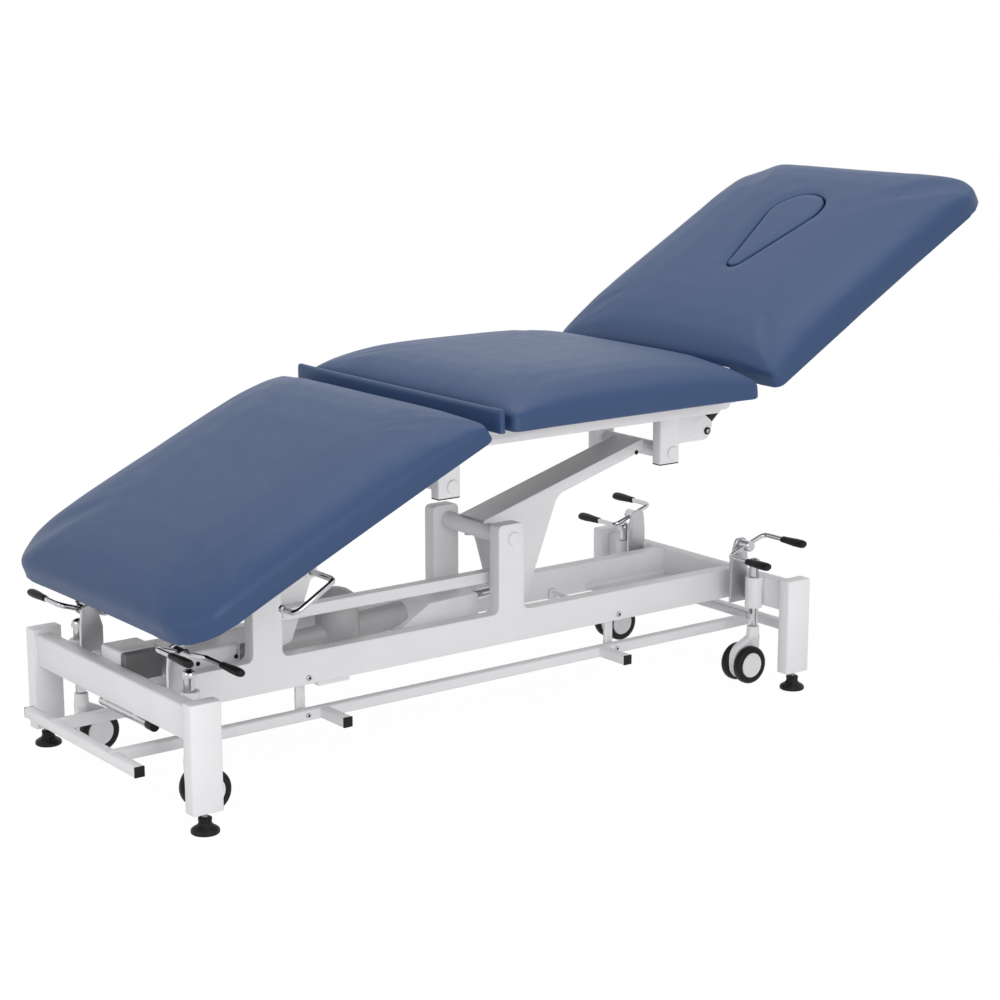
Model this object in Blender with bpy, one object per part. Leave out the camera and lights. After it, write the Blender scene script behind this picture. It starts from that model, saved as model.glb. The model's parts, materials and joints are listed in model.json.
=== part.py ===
"""Electric treatment table: a three-section couch on a parallelogram lift with retracting castors.

Metres, +Z up. X runs from the foot end to the head end, the near side is -Y and the floor is Z = 0.
Every moving body hangs on an empty that stands on its joint axis. Bodies that rest at an angle are
modelled level, and their empty tilts them.
"""

import math

import bmesh
import bpy
from mathutils import Matrix, Vector

# General fits
CLEARANCE = 0.0003  # gap between pieces that touch
RUNNING = 0.0003  # radial gap of a pin in its hole
ORIGIN_FROM_BASE = 0.2090  # the origin stands under the middle of the overall length
FACETS_LARGE = 18  # sides of the wheels, feet and motor
FACETS = 12  # sides of tubes and shafts
FACETS_SMALL = 8  # sides of pins and bent rods

# Base frame
BASE_HALF_LENGTH = 0.717
BASE_HALF_WIDTH = 0.311
LEG_WIDTH = 0.060
LEG_DEPTH = 0.030
LEG_BOTTOM = 0.037
LEG_TOP = 0.231
TUBE_EDGE = 0.004
RAIL_EDGE = 0.003
PIN_PROUD = 0.001  # how far a pin stands out of its hole
STUD_RADIUS = 0.005
STUD_GRIP = 0.020
FOOT_RADIUS = 0.025
BEAM_INSET = 0.0085
BEAM_DEPTH = 0.032
FRAME_BOTTOM = 0.160
FRAME_HEIGHT = 0.061
RAIL_OUTER = 0.123
RAIL_DEPTH = 0.030
UPRIGHT_WIDTH = 0.061
UPRIGHT_TOP = 0.395
UPRIGHT_OFFSET = -0.0055  # middle of an upright from its pivot
UPRIGHT_FILLET = 0.013
UPRIGHT_CORNER = 0.010

# Parallelogram lift
PIVOT_X = 0.102
PIVOT_Z = 0.365
ARM_LENGTH = 0.427
ARM_REST = math.radians(16.1)
ARM_SPACING = 0.5485
ARM_HALF_WIDTH = 0.040
ARM_SHEET = 0.004
ARM_RISE = 0.0235  # top of the channel over the line of its pivots
ARM_TAIL = 0.018
GUSSET_REACH = 0.180
LEVER_X = 0.034
LEVER_DROP = 0.148
LEVER_RADIUS = 0.018
TORSION_RADIUS = 0.016
SHAFT_RADIUS = 0.010
PLUG_RADIUS = 0.0145
PLUG_HEIGHT = 0.003
LINK_PIN_X = 0.036
LINK_PIN_DROP = 0.097
LINK_PIN_RADIUS = 0.005
LINK_HEIGHT = 0.022
LINK_WIDTH = 0.025
LINK_GAP = 0.0055  # from the arm's side to the bar

# Linear actuator, along its own axis from the trunnion
TRUNNION_Z = 0.200
TRUNNION_RADIUS = 0.008
TRUNNION_SEAT = 0.010
REAR_TUBE_RADIUS = 0.020
REAR_TUBE_TAIL = 0.014  # past the trunnion
MOTOR_AT = 0.222
MOTOR_RADIUS = 0.042
MOTOR_BOTTOM = -0.030
MOTOR_SHOULDER = 0.052
MOTOR_TOP = 0.0845
SPINDLE_TUBE_RADIUS = 0.026
NOSE_START = 0.340
NOSE_SHOULDER = 0.415
NOSE_END = 0.530
NOSE_HALF_WIDTH = 0.033
NOSE_BOTTOM = -0.030
NOSE_TOP = 0.018
PUSH_ROD_RADIUS = 0.010
PUSH_ROD_START = 0.420
PUSH_EYE_RADIUS = 0.016
PUSH_EYE_WIDTH = 0.024

# Castors and pedals
CASTOR_Y = 0.206
SLEEVE_RADIUS = 0.018
SLEEVE_OVERLAP = 0.001
STEM_RADIUS = 0.010
STEM_BOTTOM = 0.118
STEM_TOP = 0.262
STEM_HEAD_RADIUS = 0.013
NECK_RADIUS = 0.013
NECK_HEIGHT = 0.024
SPIGOT_RADIUS = 0.006
SPIGOT_HEIGHT = 0.020
WHEEL_RADIUS = 0.039
WHEEL_LIFT = 0.004  # the wheels hang clear of the floor at rest
WHEEL_HALF_TRACK = 0.0275
WHEEL_INNER = 0.0085
AXLE_RADIUS = 0.004
CASTOR_TRAIL = 0.025  # of the axle from the stem, towards the table's middle
HOOD_RADIUS = 0.033
HOOD_HALF_WIDTH = 0.0075
BRACKET_INNER = 0.160
BRACKET_THICKNESS = 0.006
BRACKET_WIDTH = 0.044
PEDAL_Z = 0.283
PEDAL_TILT = math.radians(18.7)
PEDAL_BAR_Y = 0.181
PEDAL_HALF_BAR = 0.0515
PEDAL_END_Y = 0.301
PEDAL_ROD_RADIUS = 0.005
PEDAL_BEND = 0.012
PEDAL_HUB_RADIUS = 0.011
PEDAL_HUB_END = 0.195
PEDAL_STUB_RADIUS = 0.006
PEDAL_STUB_LENGTH = 0.012
GRIP_RADIUS = 0.0093
GRIP_LENGTH = 0.080

# Foot switch bar
BAR_TUBE = 0.020
BAR_BOTTOM = 0.0895
BAR_PAST_BASE = 0.0555
BAR_END_HALF_WIDTH = 0.210
BAR_OUTER = 0.119
STUB_X = 0.331
STUB_REACH = 0.075
YOKE_X = 0.367
YOKE_PIVOT_Z = 0.172
YOKE_PLATE = 0.006
YOKE_HALF_WIDTH = 0.010
YOKE_ROD_RADIUS = 0.005
YOKE_SEAT = 0.008
YOKE_PIN_RADIUS = 0.004

# Boxes and trim in the base
CONTROL_FROM_POWER = 0.0082  # clear of the power supply
CONTROL_FROM_TAIL = 0.0065  # clear of the actuator's tail
CONTROL_HALF_WIDTH = 0.050
CONTROL_BOTTOM = 0.178
CONTROL_HEIGHT = 0.060
CONTROL_FLANGE = 0.004
POWER_LENGTH = 0.076
POWER_Y = 0.040
POWER_WIDTH = 0.090
POWER_BOTTOM = 0.180
POWER_HEIGHT = 0.063
TRAY_START = 0.460
TRAY_BOTTOM = 0.165
TRAY_SHEET = 0.003
TRAY_LIP = 0.012
STOW_ROD_RADIUS = 0.008
STOW_ROD_DROP = 0.013  # below the foot beam
STOW_ROD_NEAR = -0.137
STOW_ROD_FAR = 0.055
SWITCH_X = -0.310
SWITCH_LENGTH = 0.070
SWITCH_DEPTH = 0.020
SWITCH_DROP = 0.009

# Top frame
CUSHION_BOTTOM = 0.622
TOP_RAIL_INSET = 0.104  # from the cushions' side to the rails'
TOP_RAIL_WIDTH = 0.025
TOP_RAIL_HEIGHT = 0.040
TOP_RAIL_PAST_HINGE = 0.017  # foot end past the leg hinge
TOP_RAIL_STOP = 0.031  # head end short of the back hinge
HANGER_OUTER = 0.1145
HANGER_THICKNESS = 0.025
HANGER_WIDTH = 0.051
HANGER_BOTTOM = 0.463
HANGER_OFFSET = -0.008  # middle of a hanger from its pivot
HANGER_WALL = 0.0025
HANGER_RECESS = 0.008
CROSS_TUBE = 0.040
TOP_PIVOT_RISE = ARM_LENGTH * math.sin(ARM_REST)

# Sections
SECTION_RAIL_GAP = 0.0005  # between a section's rail and the seat's
SECTION_RAIL_WIDTH = 0.025
SECTION_CROSSBAR = 0.025
HALF_WIDTH = 0.343
CUSHION_THICKNESS = 0.090  # in the middle
CUSHION_WALL = 0.030  # the upright side under the swell
END_FULLNESS = 4  # how late the swell falls off to an end
SIDE_FULLNESS = 5  # and to a side
CUSHION_DRAW = 0.003  # how far the sides pull in between the corners
INNER_CORNER = 0.016
OUTER_CORNER = 0.088
SEAT_FOOT = -0.066
SEAT_HEAD = 0.540
STRIP_GAP = 0.014  # between the strip and the seat
LEG_GAP = 0.004  # between the leg section and the strip
LEG_HINGE_INSET = 0.008  # of the hinge from the level leg section's end
LEG_HINGE_Z = 0.600
LEG_DOWN = math.radians(25.2)
LEG_LENGTH = 0.679
LEG_RAIL_LENGTH = 0.550
LEG_RAIL_HEIGHT = 0.030
BACK_GAP = 0.032  # between seat and back, the hinge in its middle
BACK_HINGE_Z = 0.655
BACK_UP = math.radians(29.8)
BACK_LENGTH = 0.700
BACK_RAIL_SETBACK = 0.010  # from the back section's end
BACK_RAIL_LENGTH = 0.540
HINGE_PLATE = 0.008
HINGE_EYE = 0.013
HINGE_PIN_RADIUS = 0.006
STRIP_THICKNESS = 0.014
STRIP_HEIGHT = 0.046
HOLE_FROM_LOW_END = 0.273  # the narrow end of the breathing hole
HOLE_SPACING = 0.189
HOLE_NARROW = 0.020
HOLE_WIDE = 0.070
PLUG_SEAM = 0.0008

# Gas springs
SPRING_RADIUS = 0.011
SPRING_ROD_RADIUS = 0.005
SPRING_PIN_RADIUS = 0.005
SPRING_EYE_RADIUS = 0.011
SPRING_EYE_WIDTH = 0.014
SPRING_COLLAR_RADIUS = 0.0065
SPRING_COLLAR_LENGTH = 0.012
FORK_SHEET = 0.004
FORK_GAP = 0.0005  # beside the eye
LEG_SPRING_Y = 0.065
LEG_SPRING_TOP_RISE = 0.047  # of its upper pin over the hanger's pivot
LEG_SPRING_REACH = 0.300  # of its lower pin from the leg hinge
LEG_SPRING_Z = 0.570
LEG_SPRING_CYLINDER = 0.200
LEG_SPRING_INNER = 0.090
BACK_SPRING_Y = -0.092
BACK_LUG_X = 0.604
BACK_LUG_Z = 0.519
BACK_SPRING_REACH = 0.244  # of its upper pin from the back hinge
BACK_SPRING_Z = 0.570
BACK_SPRING_CYLINDER = 0.180
BACK_SPRING_INNER = 0.0875

# Release handle of the leg section, level
HANDLE_RADIUS = 0.0055
HANDLE_X = -0.469
HANDLE_Z = 0.5527
HANDLE_REACH = 0.093
HANDLE_FALL = 0.009
HANDLE_BEND = 0.012
HANDLE_OUT = 0.0725  # outer leg of the stirrup from the rail's side
HANDLE_SEAT = 0.0185
HANDLE_TIP_OUT = 0.0295
HANDLE_COLLAR = 0.008

# Worked out from the sizes above
BEAM_OUTER = BASE_HALF_LENGTH - BEAM_INSET
BEAM_INNER = BEAM_OUTER - BEAM_DEPTH
BAR_HALF_LENGTH = BASE_HALF_LENGTH + BAR_PAST_BASE
POWER_START = -BEAM_INNER + CLEARANCE
TRUNNION_X = PIVOT_X - ARM_SPACING  # under the foot arm's pivot
CONTROL_START = POWER_START + POWER_LENGTH + CONTROL_FROM_POWER
CONTROL_END = TRUNNION_X - REAR_TUBE_TAIL - CONTROL_FROM_TAIL
FRAME_TOP = FRAME_BOTTOM + FRAME_HEIGHT
RAIL_INNER = RAIL_OUTER - RAIL_DEPTH
CASTOR_X = BEAM_INNER - SLEEVE_RADIUS + SLEEVE_OVERLAP
AXLE_Z = WHEEL_RADIUS + WHEEL_LIFT
BAR_INNER = BAR_OUTER - BAR_TUBE
BAR_MIDDLE = BAR_BOTTOM + BAR_TUBE / 2
TOP_PIVOT_X = PIVOT_X + ARM_LENGTH * math.cos(ARM_REST)
TOP_PIVOT_Z = PIVOT_Z + TOP_PIVOT_RISE
STRIP_FOOT = SEAT_FOOT - STRIP_GAP - STRIP_THICKNESS
LEG_HEAD = STRIP_FOOT - LEG_GAP
LEG_HINGE_X = LEG_HEAD + LEG_HINGE_INSET
BACK_HINGE_X = SEAT_HEAD + BACK_GAP / 2
BACK_FOOT = SEAT_HEAD + BACK_GAP
BACK_RAIL_FOOT = BACK_FOOT + BACK_RAIL_SETBACK
TOP_RAIL_FOOT = LEG_HINGE_X - TOP_RAIL_PAST_HINGE
TOP_RAIL_HEAD = BACK_HINGE_X - TOP_RAIL_STOP
TOP_RAIL_OUTER = HALF_WIDTH - TOP_RAIL_INSET
LEG_SPRING_X = LEG_HINGE_X - LEG_SPRING_REACH
BACK_SPRING_X = BACK_HINGE_X + BACK_SPRING_REACH
TOP_RAIL_TOP = CUSHION_BOTTOM - CLEARANCE
TOP_RAIL_BOTTOM = TOP_RAIL_TOP - TOP_RAIL_HEIGHT
TOP_RAIL_INNER = TOP_RAIL_OUTER - TOP_RAIL_WIDTH
SECTION_RAIL_OUTER = TOP_RAIL_INNER - SECTION_RAIL_GAP
SECTION_RAIL_INNER = SECTION_RAIL_OUTER - SECTION_RAIL_WIDTH
HANDLE_OUTER = -SECTION_RAIL_OUTER - HANDLE_OUT
HANDLE_ROOT = -SECTION_RAIL_OUTER + HANDLE_SEAT
HANDLE_TIP = -SECTION_RAIL_OUTER - HANDLE_TIP_OUT
HANGER_INNER = HANGER_OUTER - HANGER_THICKNESS
SIDES = {"near": -1, "far": 1}
ENDS = {"foot": -1, "head": 1}


class Body:
    """A rigid body: an empty on its joint axis, and the place where that axis is modelled."""

    def __init__(self, name, at, parent=None, tilt=0.0):
        """tilt turns the body about Y so that its +X end rises by that angle."""
        self.at = Vector(at)
        self.empty = bpy.data.objects.new(name + "_axis", None)
        self.empty.empty_display_size = 0.03
        bpy.context.scene.collection.objects.link(self.empty)
        self.empty.location = self.at
        if parent:
            self.empty.parent = parent.empty
            self.empty.location = self.at - parent.at
        self.empty.rotation_euler.y = -tilt


def finish(name, colour, roughness, metallic=0.0):
    """A Principled material."""
    material = bpy.data.materials.new(name)
    material.use_nodes = True
    shader = material.node_tree.nodes["Principled BSDF"]
    shader.inputs["Base Color"].default_value = (*colour, 1.0)
    shader.inputs["Roughness"].default_value = roughness
    shader.inputs["Metallic"].default_value = metallic
    material.diffuse_color = (*colour, 1.0)
    return material


def piece(name, solid, material, body):
    """Turns a solid, modelled level in the table's frame, into an object that hangs on its body."""
    bmesh.ops.remove_doubles(solid, verts=solid.verts, dist=1e-7)
    bmesh.ops.transform(solid, matrix=Matrix.Translation(-body.at), verts=solid.verts)
    mesh = bpy.data.meshes.new(name)
    solid.to_mesh(mesh)
    solid.free()
    mesh.materials.append(material)
    mesh.shade_smooth()
    mesh.set_sharp_from_angle(angle=math.radians(35))
    obj = bpy.data.objects.new(name, mesh)
    obj.parent = body.empty
    bpy.context.scene.collection.objects.link(obj)
    return obj


def bar(low, high, along=None, edge=0.0, segments=2):
    """A box between two corners, whose edges along one axis can be rounded as a drawn tube's are."""
    solid = bmesh.new()
    bmesh.ops.create_cube(solid, size=1.0)
    size = Vector(max(a, b) - min(a, b) for a, b in zip(low, high))
    middle = (Vector(low) + Vector(high)) / 2
    for vert in solid.verts:
        vert.co = Vector(c * s for c, s in zip(vert.co, size)) + middle
    if edge:
        others = [i for i in range(3) if i != along]
        edges = [
            e for e in solid.edges
            if all(abs((e.verts[0].co - e.verts[1].co)[i]) < 1e-9 for i in others)
        ]
        bmesh.ops.bevel(
            solid, geom=edges, offset=edge, segments=segments, profile=0.5, affect="EDGES"
        )
    return solid


def rod(start, end, radius, sides=FACETS):
    """A cylinder between two points."""
    start, end = Vector(start), Vector(end)
    solid = bmesh.new()
    turn = (end - start).to_track_quat("Z", "Y").to_matrix().to_4x4()
    bmesh.ops.create_cone(
        solid, cap_ends=True, segments=sides, radius1=radius, radius2=radius,
        depth=(end - start).length, matrix=Matrix.Translation((start + end) / 2) @ turn,
    )
    return solid


def bore(start, end, radius, sides=FACETS):
    """A cutter for a hole that a pin of this radius runs in, with the running gap on its flats."""
    return rod(start, end, (radius + RUNNING) / math.cos(math.pi / sides), sides)


def across(x, z, y0, y1):
    """The two ends of a pin that lies along Y."""
    return (x, y0, z), (x, y1, z)


def turned(profile, at, axis="Z", sides=FACETS_LARGE):
    """A solid of revolution from (radius, height) points, from the foot of its axis to the top."""
    solid = bmesh.new()
    rings = []
    for radius, height in profile:
        if radius < 1e-9:
            rings.append([solid.verts.new((0, 0, height))])
            continue
        angles = [2 * math.pi * i / sides for i in range(sides)]
        rings.append(
            [solid.verts.new((radius * math.cos(a), radius * math.sin(a), height)) for a in angles]
        )
    for lower, upper in zip(rings, rings[1:]):
        for i in range(sides):
            j = (i + 1) % sides
            corners = [lower[i % len(lower)], lower[j % len(lower)]]
            corners += [upper[j % len(upper)], upper[i % len(upper)]]
            solid.faces.new(dict.fromkeys(corners))
    turn = {"Z": Matrix(), "Y": Matrix.Rotation(-math.pi / 2, 4, "X"),
            "X": Matrix.Rotation(math.pi / 2, 4, "Y")}[axis]
    bmesh.ops.transform(solid, matrix=Matrix.Translation(at) @ turn, verts=solid.verts)
    bmesh.ops.recalc_face_normals(solid, faces=solid.faces)
    return solid


def rounded(*corners, steps=3):
    """The points of an outline whose corners are (x, z, radius), with an arc at each round corner."""
    points = []
    for i, (x, z, radius) in enumerate(corners):
        here = Vector((x, z))
        back = (Vector(corners[i - 1][:2]) - here).normalized()
        on = (Vector(corners[(i + 1) % len(corners)][:2]) - here).normalized()
        if radius <= 0:
            points.append(here)
            continue
        half = back.angle(on) / 2
        centre = here + (back + on).normalized() * radius / math.sin(half)
        first = here + back * radius / math.tan(half) - centre
        last = here + on * radius / math.tan(half) - centre
        sweep = first.angle_signed(last)
        for step in range(steps + 1):
            turn = Matrix.Rotation(-sweep * step / steps, 2)
            points.append(centre + turn @ first)
    return points


def prism(outline, low, high):
    """An outline in X and Z, extruded along Y."""
    solid = bmesh.new()
    face = solid.faces.new([solid.verts.new((x, low, z)) for x, z in outline])
    swept = bmesh.ops.extrude_face_region(solid, geom=[face])["geom"]
    moved = [v for v in swept if isinstance(v, bmesh.types.BMVert)]
    bmesh.ops.translate(solid, vec=(0, high - low, 0), verts=moved)
    bmesh.ops.recalc_face_normals(solid, faces=solid.faces)
    return solid


def bent_rod(points, radius, bend, sides=FACETS_SMALL, steps=3):
    """A round rod along straight runs, with every inner point bent to the same radius."""
    points = [Vector(p) for p in points]
    path = [points[0]]
    for before, here, after in zip(points, points[1:], points[2:]):
        back = (before - here).normalized()
        on = (after - here).normalized()
        half = back.angle(on) / 2
        centre = here + (back + on).normalized() * bend / math.sin(half)
        first = here + back * bend / math.tan(half) - centre
        last = here + on * bend / math.tan(half) - centre
        first, last = first.normalized(), last.normalized()
        path += [centre + first.slerp(last, step / steps) * bend for step in range(steps + 1)]
    path.append(points[-1])
    solid = bmesh.new()
    rings = []
    normal = None
    for i, here in enumerate(path):
        ahead = (path[min(i + 1, len(path) - 1)] - path[max(i - 1, 0)]).normalized()
        normal = ahead.orthogonal() if normal is None else normal - ahead * normal.dot(ahead)
        normal.normalize()
        side = ahead.cross(normal)
        angles = [2 * math.pi * k / sides for k in range(sides)]
        rings.append(
            [solid.verts.new(here + (normal * math.cos(a) + side * math.sin(a)) * radius) for a in angles]
        )
    for lower, upper in zip(rings, rings[1:]):
        for k in range(sides):
            j = (k + 1) % sides
            solid.faces.new((lower[k], lower[j], upper[j], upper[k]))
    solid.faces.new(reversed(rings[0]))
    solid.faces.new(rings[-1])
    bmesh.ops.recalc_face_normals(solid, faces=solid.faces)
    return solid


def combine(first, others, operation):
    """Joins, cuts or meets solids with an exact Boolean."""
    scene = bpy.context.scene
    helpers = []
    for solid in (first, *others):
        mesh = bpy.data.meshes.new("helper")
        solid.to_mesh(mesh)
        solid.free()
        helpers.append(bpy.data.objects.new("helper", mesh))
        scene.collection.objects.link(helpers[-1])
    for other in helpers[1:]:
        modifier = helpers[0].modifiers.new("combine", "BOOLEAN")
        modifier.operation = operation
        modifier.object = other
    result = bmesh.new()
    result.from_object(helpers[0], bpy.context.evaluated_depsgraph_get())
    for helper in helpers:
        bpy.data.meshes.remove(helper.data)
    return result


def welded(first, *others):
    """One solid of several that overlap."""
    return combine(first, others, "UNION")


def cut(first, *others):
    """A solid less its cutters."""
    return combine(first, others, "DIFFERENCE")


def mirrored(solid, side):
    """The solid itself, or its mirror image on the far side when side is 1."""
    if side > 0:
        bmesh.ops.scale(solid, vec=(1, -1, 1), verts=solid.verts)
        bmesh.ops.reverse_faces(solid, faces=solid.faces)
    return solid


def swung(x, z, hinge_x, hinge_z, angle):
    """Where a point of a level section lies when the section's +X end is raised by this angle."""
    dx, dz = x - hinge_x, z - hinge_z
    return (
        hinge_x + dx * math.cos(angle) - dz * math.sin(angle),
        hinge_z + dx * math.sin(angle) + dz * math.cos(angle),
    )


def plan_outline(low, high, half_width, low_corner, high_corner, arc=5, along=7, end=7):
    """Points round a cushion seen from above, with its sides drawn in between the corners."""
    points = []
    ends = ((high, 1, high_corner), (low, -1, low_corner))
    for at, way, radius in ends:
        for turn in range(2):
            side = -way if turn == 0 else way
            start = math.atan2(side, way) - math.pi / 4
            centre = Vector((at - way * radius, side * (half_width - radius)))
            for step in range(arc + 1):
                angle = start + math.pi / 2 * step / arc
                points.append(centre + Vector((math.cos(angle), math.sin(angle))) * radius)
            if turn == 0:
                reach = half_width - radius
                points += [Vector((at, side * reach * (1 - 2 * i / end))) for i in range(1, end)]
        other_at, other_way, other_radius = ends[1] if way > 0 else ends[0]
        run_from = at - way * radius
        run_to = other_at - other_way * other_radius
        points += [
            Vector((run_from + (run_to - run_from) * i / along, way * half_width)) for i in range(1, along)
        ]
    middle = (low + high) / 2
    reach = (high - low) / 2
    for point in points:
        along_x = (point.x - middle) / reach
        along_y = point.y / half_width
        point.x -= CUSHION_DRAW * along_x * (1 - along_y ** 2)
        point.y -= CUSHION_DRAW * along_y * (1 - along_x ** 2)
    return points


def cushion(low, high, half_width, bottom, low_corner, high_corner):
    """A padded section: flat below, a low upright side, and a top that swells to its middle."""
    outline = plan_outline(low, high, half_width, low_corner, high_corner)
    middle = Vector(((low + high) / 2, 0))
    reach = Vector(((high - low) / 2, half_width))
    hem = 0.004
    swell = CUSHION_THICKNESS - CUSHION_WALL
    rings = [(1 - hem / half_width, 0.0), (1.0, hem), (1.0, CUSHION_WALL)]
    rings += [(share, CUSHION_WALL) for share in (0.995, 0.98, 0.955, 0.91, 0.83, 0.70, 0.50, 0.25)]
    solid = bmesh.new()
    loops = []
    for share, height in rings:
        loop = []
        for point in outline:
            away = point - middle
            along, across_it = abs(away.x / reach.x), abs(away.y / reach.y)
            major = max(along, across_it)
            rise = 0.0
            if height == CUSHION_WALL:
                end_fall = (share * along / major) ** END_FULLNESS
                side_fall = (share * across_it / major) ** SIDE_FULLNESS
                rise = swell * math.sqrt((1 - end_fall) * (1 - side_fall))
            spot = away * share
            loop.append(solid.verts.new((middle.x + spot.x, spot.y, bottom + height + rise)))
        loops.append(loop)
    count = len(outline)
    for lower, upper in zip(loops, loops[1:]):
        for i in range(count):
            j = (i + 1) % count
            solid.faces.new((lower[i], lower[j], upper[j], upper[i]))
    solid.faces.new(reversed(loops[0]))
    crown = solid.verts.new((middle.x, 0, bottom + CUSHION_THICKNESS))
    for i in range(count):
        solid.faces.new((loops[-1][i], loops[-1][(i + 1) % count], crown))
    bmesh.ops.recalc_face_normals(solid, faces=solid.faces)
    return solid


def teardrop(narrow_x, spacing, narrow, wide, low, high, steps=9):
    """A standing prism over a teardrop: two round ends joined by tangents."""
    lean = math.asin((wide - narrow) / spacing)
    outline = []
    for i in range(2 * steps + 1):
        angle = (math.pi / 2 + lean) * (i / steps - 1)
        outline.append((narrow_x + spacing + wide * math.cos(angle), wide * math.sin(angle)))
    for i in range(steps + 1):
        angle = math.pi / 2 + lean + (math.pi - 2 * lean) * i / steps
        outline.append((narrow_x + narrow * math.cos(angle), narrow * math.sin(angle)))
    solid = bmesh.new()
    face = solid.faces.new([solid.verts.new((x, y, low)) for x, y in outline])
    swept = bmesh.ops.extrude_face_region(solid, geom=[face])["geom"]
    bmesh.ops.translate(
        solid, vec=(0, 0, high - low), verts=[v for v in swept if isinstance(v, bmesh.types.BMVert)]
    )
    bmesh.ops.remove_doubles(solid, verts=solid.verts, dist=1e-6)
    bmesh.ops.recalc_face_normals(solid, faces=solid.faces)
    return solid


def side_frame(side):
    """A rail with two uprights, cut in one piece, with the bores of the pivots it carries."""
    half = BEAM_INNER - CLEARANCE
    fillet = UPRIGHT_FILLET
    corners = [(-half, FRAME_BOTTOM, 0), (half, FRAME_BOTTOM, 0), (half, FRAME_TOP, 0)]
    for pivot in (PIVOT_X, PIVOT_X - ARM_SPACING):
        right = pivot + UPRIGHT_OFFSET + UPRIGHT_WIDTH / 2
        left = right - UPRIGHT_WIDTH
        corners += [(right, FRAME_TOP, fillet), (right, UPRIGHT_TOP, UPRIGHT_CORNER)]
        corners += [(left, UPRIGHT_TOP, UPRIGHT_CORNER), (left, FRAME_TOP, fillet)]
    corners.append((-half, FRAME_TOP, 0))
    solid = prism(rounded(*corners), -RAIL_OUTER, -RAIL_INNER)
    past = 0.01
    cutters = [
        bore(*across(x, PIVOT_Z, -RAIL_OUTER - past, -RAIL_INNER + past), SHAFT_RADIUS)
        for x in (PIVOT_X, TRUNNION_X)
    ]
    trunnion_end = RAIL_INNER + TRUNNION_SEAT + CLEARANCE
    cutters.append(
        bore(*across(TRUNNION_X, TRUNNION_Z, -trunnion_end, -RAIL_INNER + past), TRUNNION_RADIUS)
    )
    yoke_end = RAIL_INNER + YOKE_SEAT + CLEARANCE
    cutters += [
        bore(*across(way * YOKE_X, YOKE_PIVOT_Z, -yoke_end, -RAIL_INNER + past), YOKE_ROD_RADIUS)
        for way in ENDS.values()
    ]
    return mirrored(cut(solid, *cutters), side)


def end_beam(way):
    """A beam across one end, with the castor sleeves and the pedal brackets welded to its inner face."""
    reach = BASE_HALF_WIDTH - LEG_DEPTH - CLEARANCE
    solid = bar(
        (way * BEAM_INNER, -reach, FRAME_BOTTOM), (way * BEAM_OUTER, reach, FRAME_TOP),
        along=1, edge=TUBE_EDGE,
    )
    parts = []
    bores = []
    weld = 0.002
    bracket_outer = BRACKET_INNER + BRACKET_THICKNESS
    for side in SIDES.values():
        at = (way * CASTOR_X, side * CASTOR_Y)
        sleeve = rod((*at, FRAME_BOTTOM - weld), (*at, FRAME_TOP + weld / 2), SLEEVE_RADIUS, FACETS_LARGE)
        parts.append(sleeve)
        bores.append(bore((*at, FRAME_BOTTOM - 0.02), (*at, FRAME_TOP + 0.02), STEM_RADIUS))
        inner = BEAM_INNER - BRACKET_WIDTH
        corners = [
            (way * (BEAM_INNER + weld), FRAME_BOTTOM + weld, 0),
            (way * (BEAM_INNER + weld), PEDAL_Z - 0.03, 0),
            (way * (CASTOR_X + 0.014), PEDAL_Z + 0.013, 0.010),
            (way * (CASTOR_X - 0.014), PEDAL_Z + 0.013, 0.010),
            (way * inner, PEDAL_Z - 0.03, 0),
            (way * inner, FRAME_BOTTOM + weld, 0),
        ]
        plate = sorted((side * BRACKET_INNER, side * bracket_outer))
        parts.append(prism(rounded(*corners), *plate))
        stub_end = side * (bracket_outer + PEDAL_STUB_LENGTH)
        parts.append(
            rod(
                *across(way * CASTOR_X, PEDAL_Z, side * (bracket_outer - weld), stub_end),
                PEDAL_STUB_RADIUS, FACETS_SMALL,
            )
        )
    return cut(welded(solid, *parts), *bores)


def leg(way, side):
    """A leg with a threaded hole for its levelling foot."""
    inner = BASE_HALF_LENGTH - LEG_WIDTH
    solid = bar(
        (way * inner, side * (BASE_HALF_WIDTH - LEG_DEPTH), LEG_BOTTOM),
        (way * BASE_HALF_LENGTH, side * BASE_HALF_WIDTH, LEG_TOP), along=2, edge=TUBE_EDGE,
    )
    at = (way * (BASE_HALF_LENGTH - LEG_WIDTH / 2), side * (BASE_HALF_WIDTH - LEG_DEPTH / 2))
    depth = LEG_BOTTOM + STUD_GRIP + CLEARANCE
    return cut(solid, bore((*at, LEG_BOTTOM - 0.01), (*at, depth), STUD_RADIUS, FACETS_SMALL))


def levelling_foot(way, side):
    """A flared foot on a threaded stud."""
    at = (way * (BASE_HALF_LENGTH - LEG_WIDTH / 2), side * (BASE_HALF_WIDTH - LEG_DEPTH / 2), 0)
    neck = FOOT_RADIUS * 0.42
    top = LEG_BOTTOM + STUD_GRIP
    profile = [
        (0, 0), (FOOT_RADIUS, 0), (FOOT_RADIUS, 0.0055), (FOOT_RADIUS * 0.78, 0.010),
        (neck * 1.15, 0.015), (neck, 0.027), (STUD_RADIUS, 0.028), (STUD_RADIUS, top), (0, top),
    ]
    return turned(profile, at)


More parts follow.
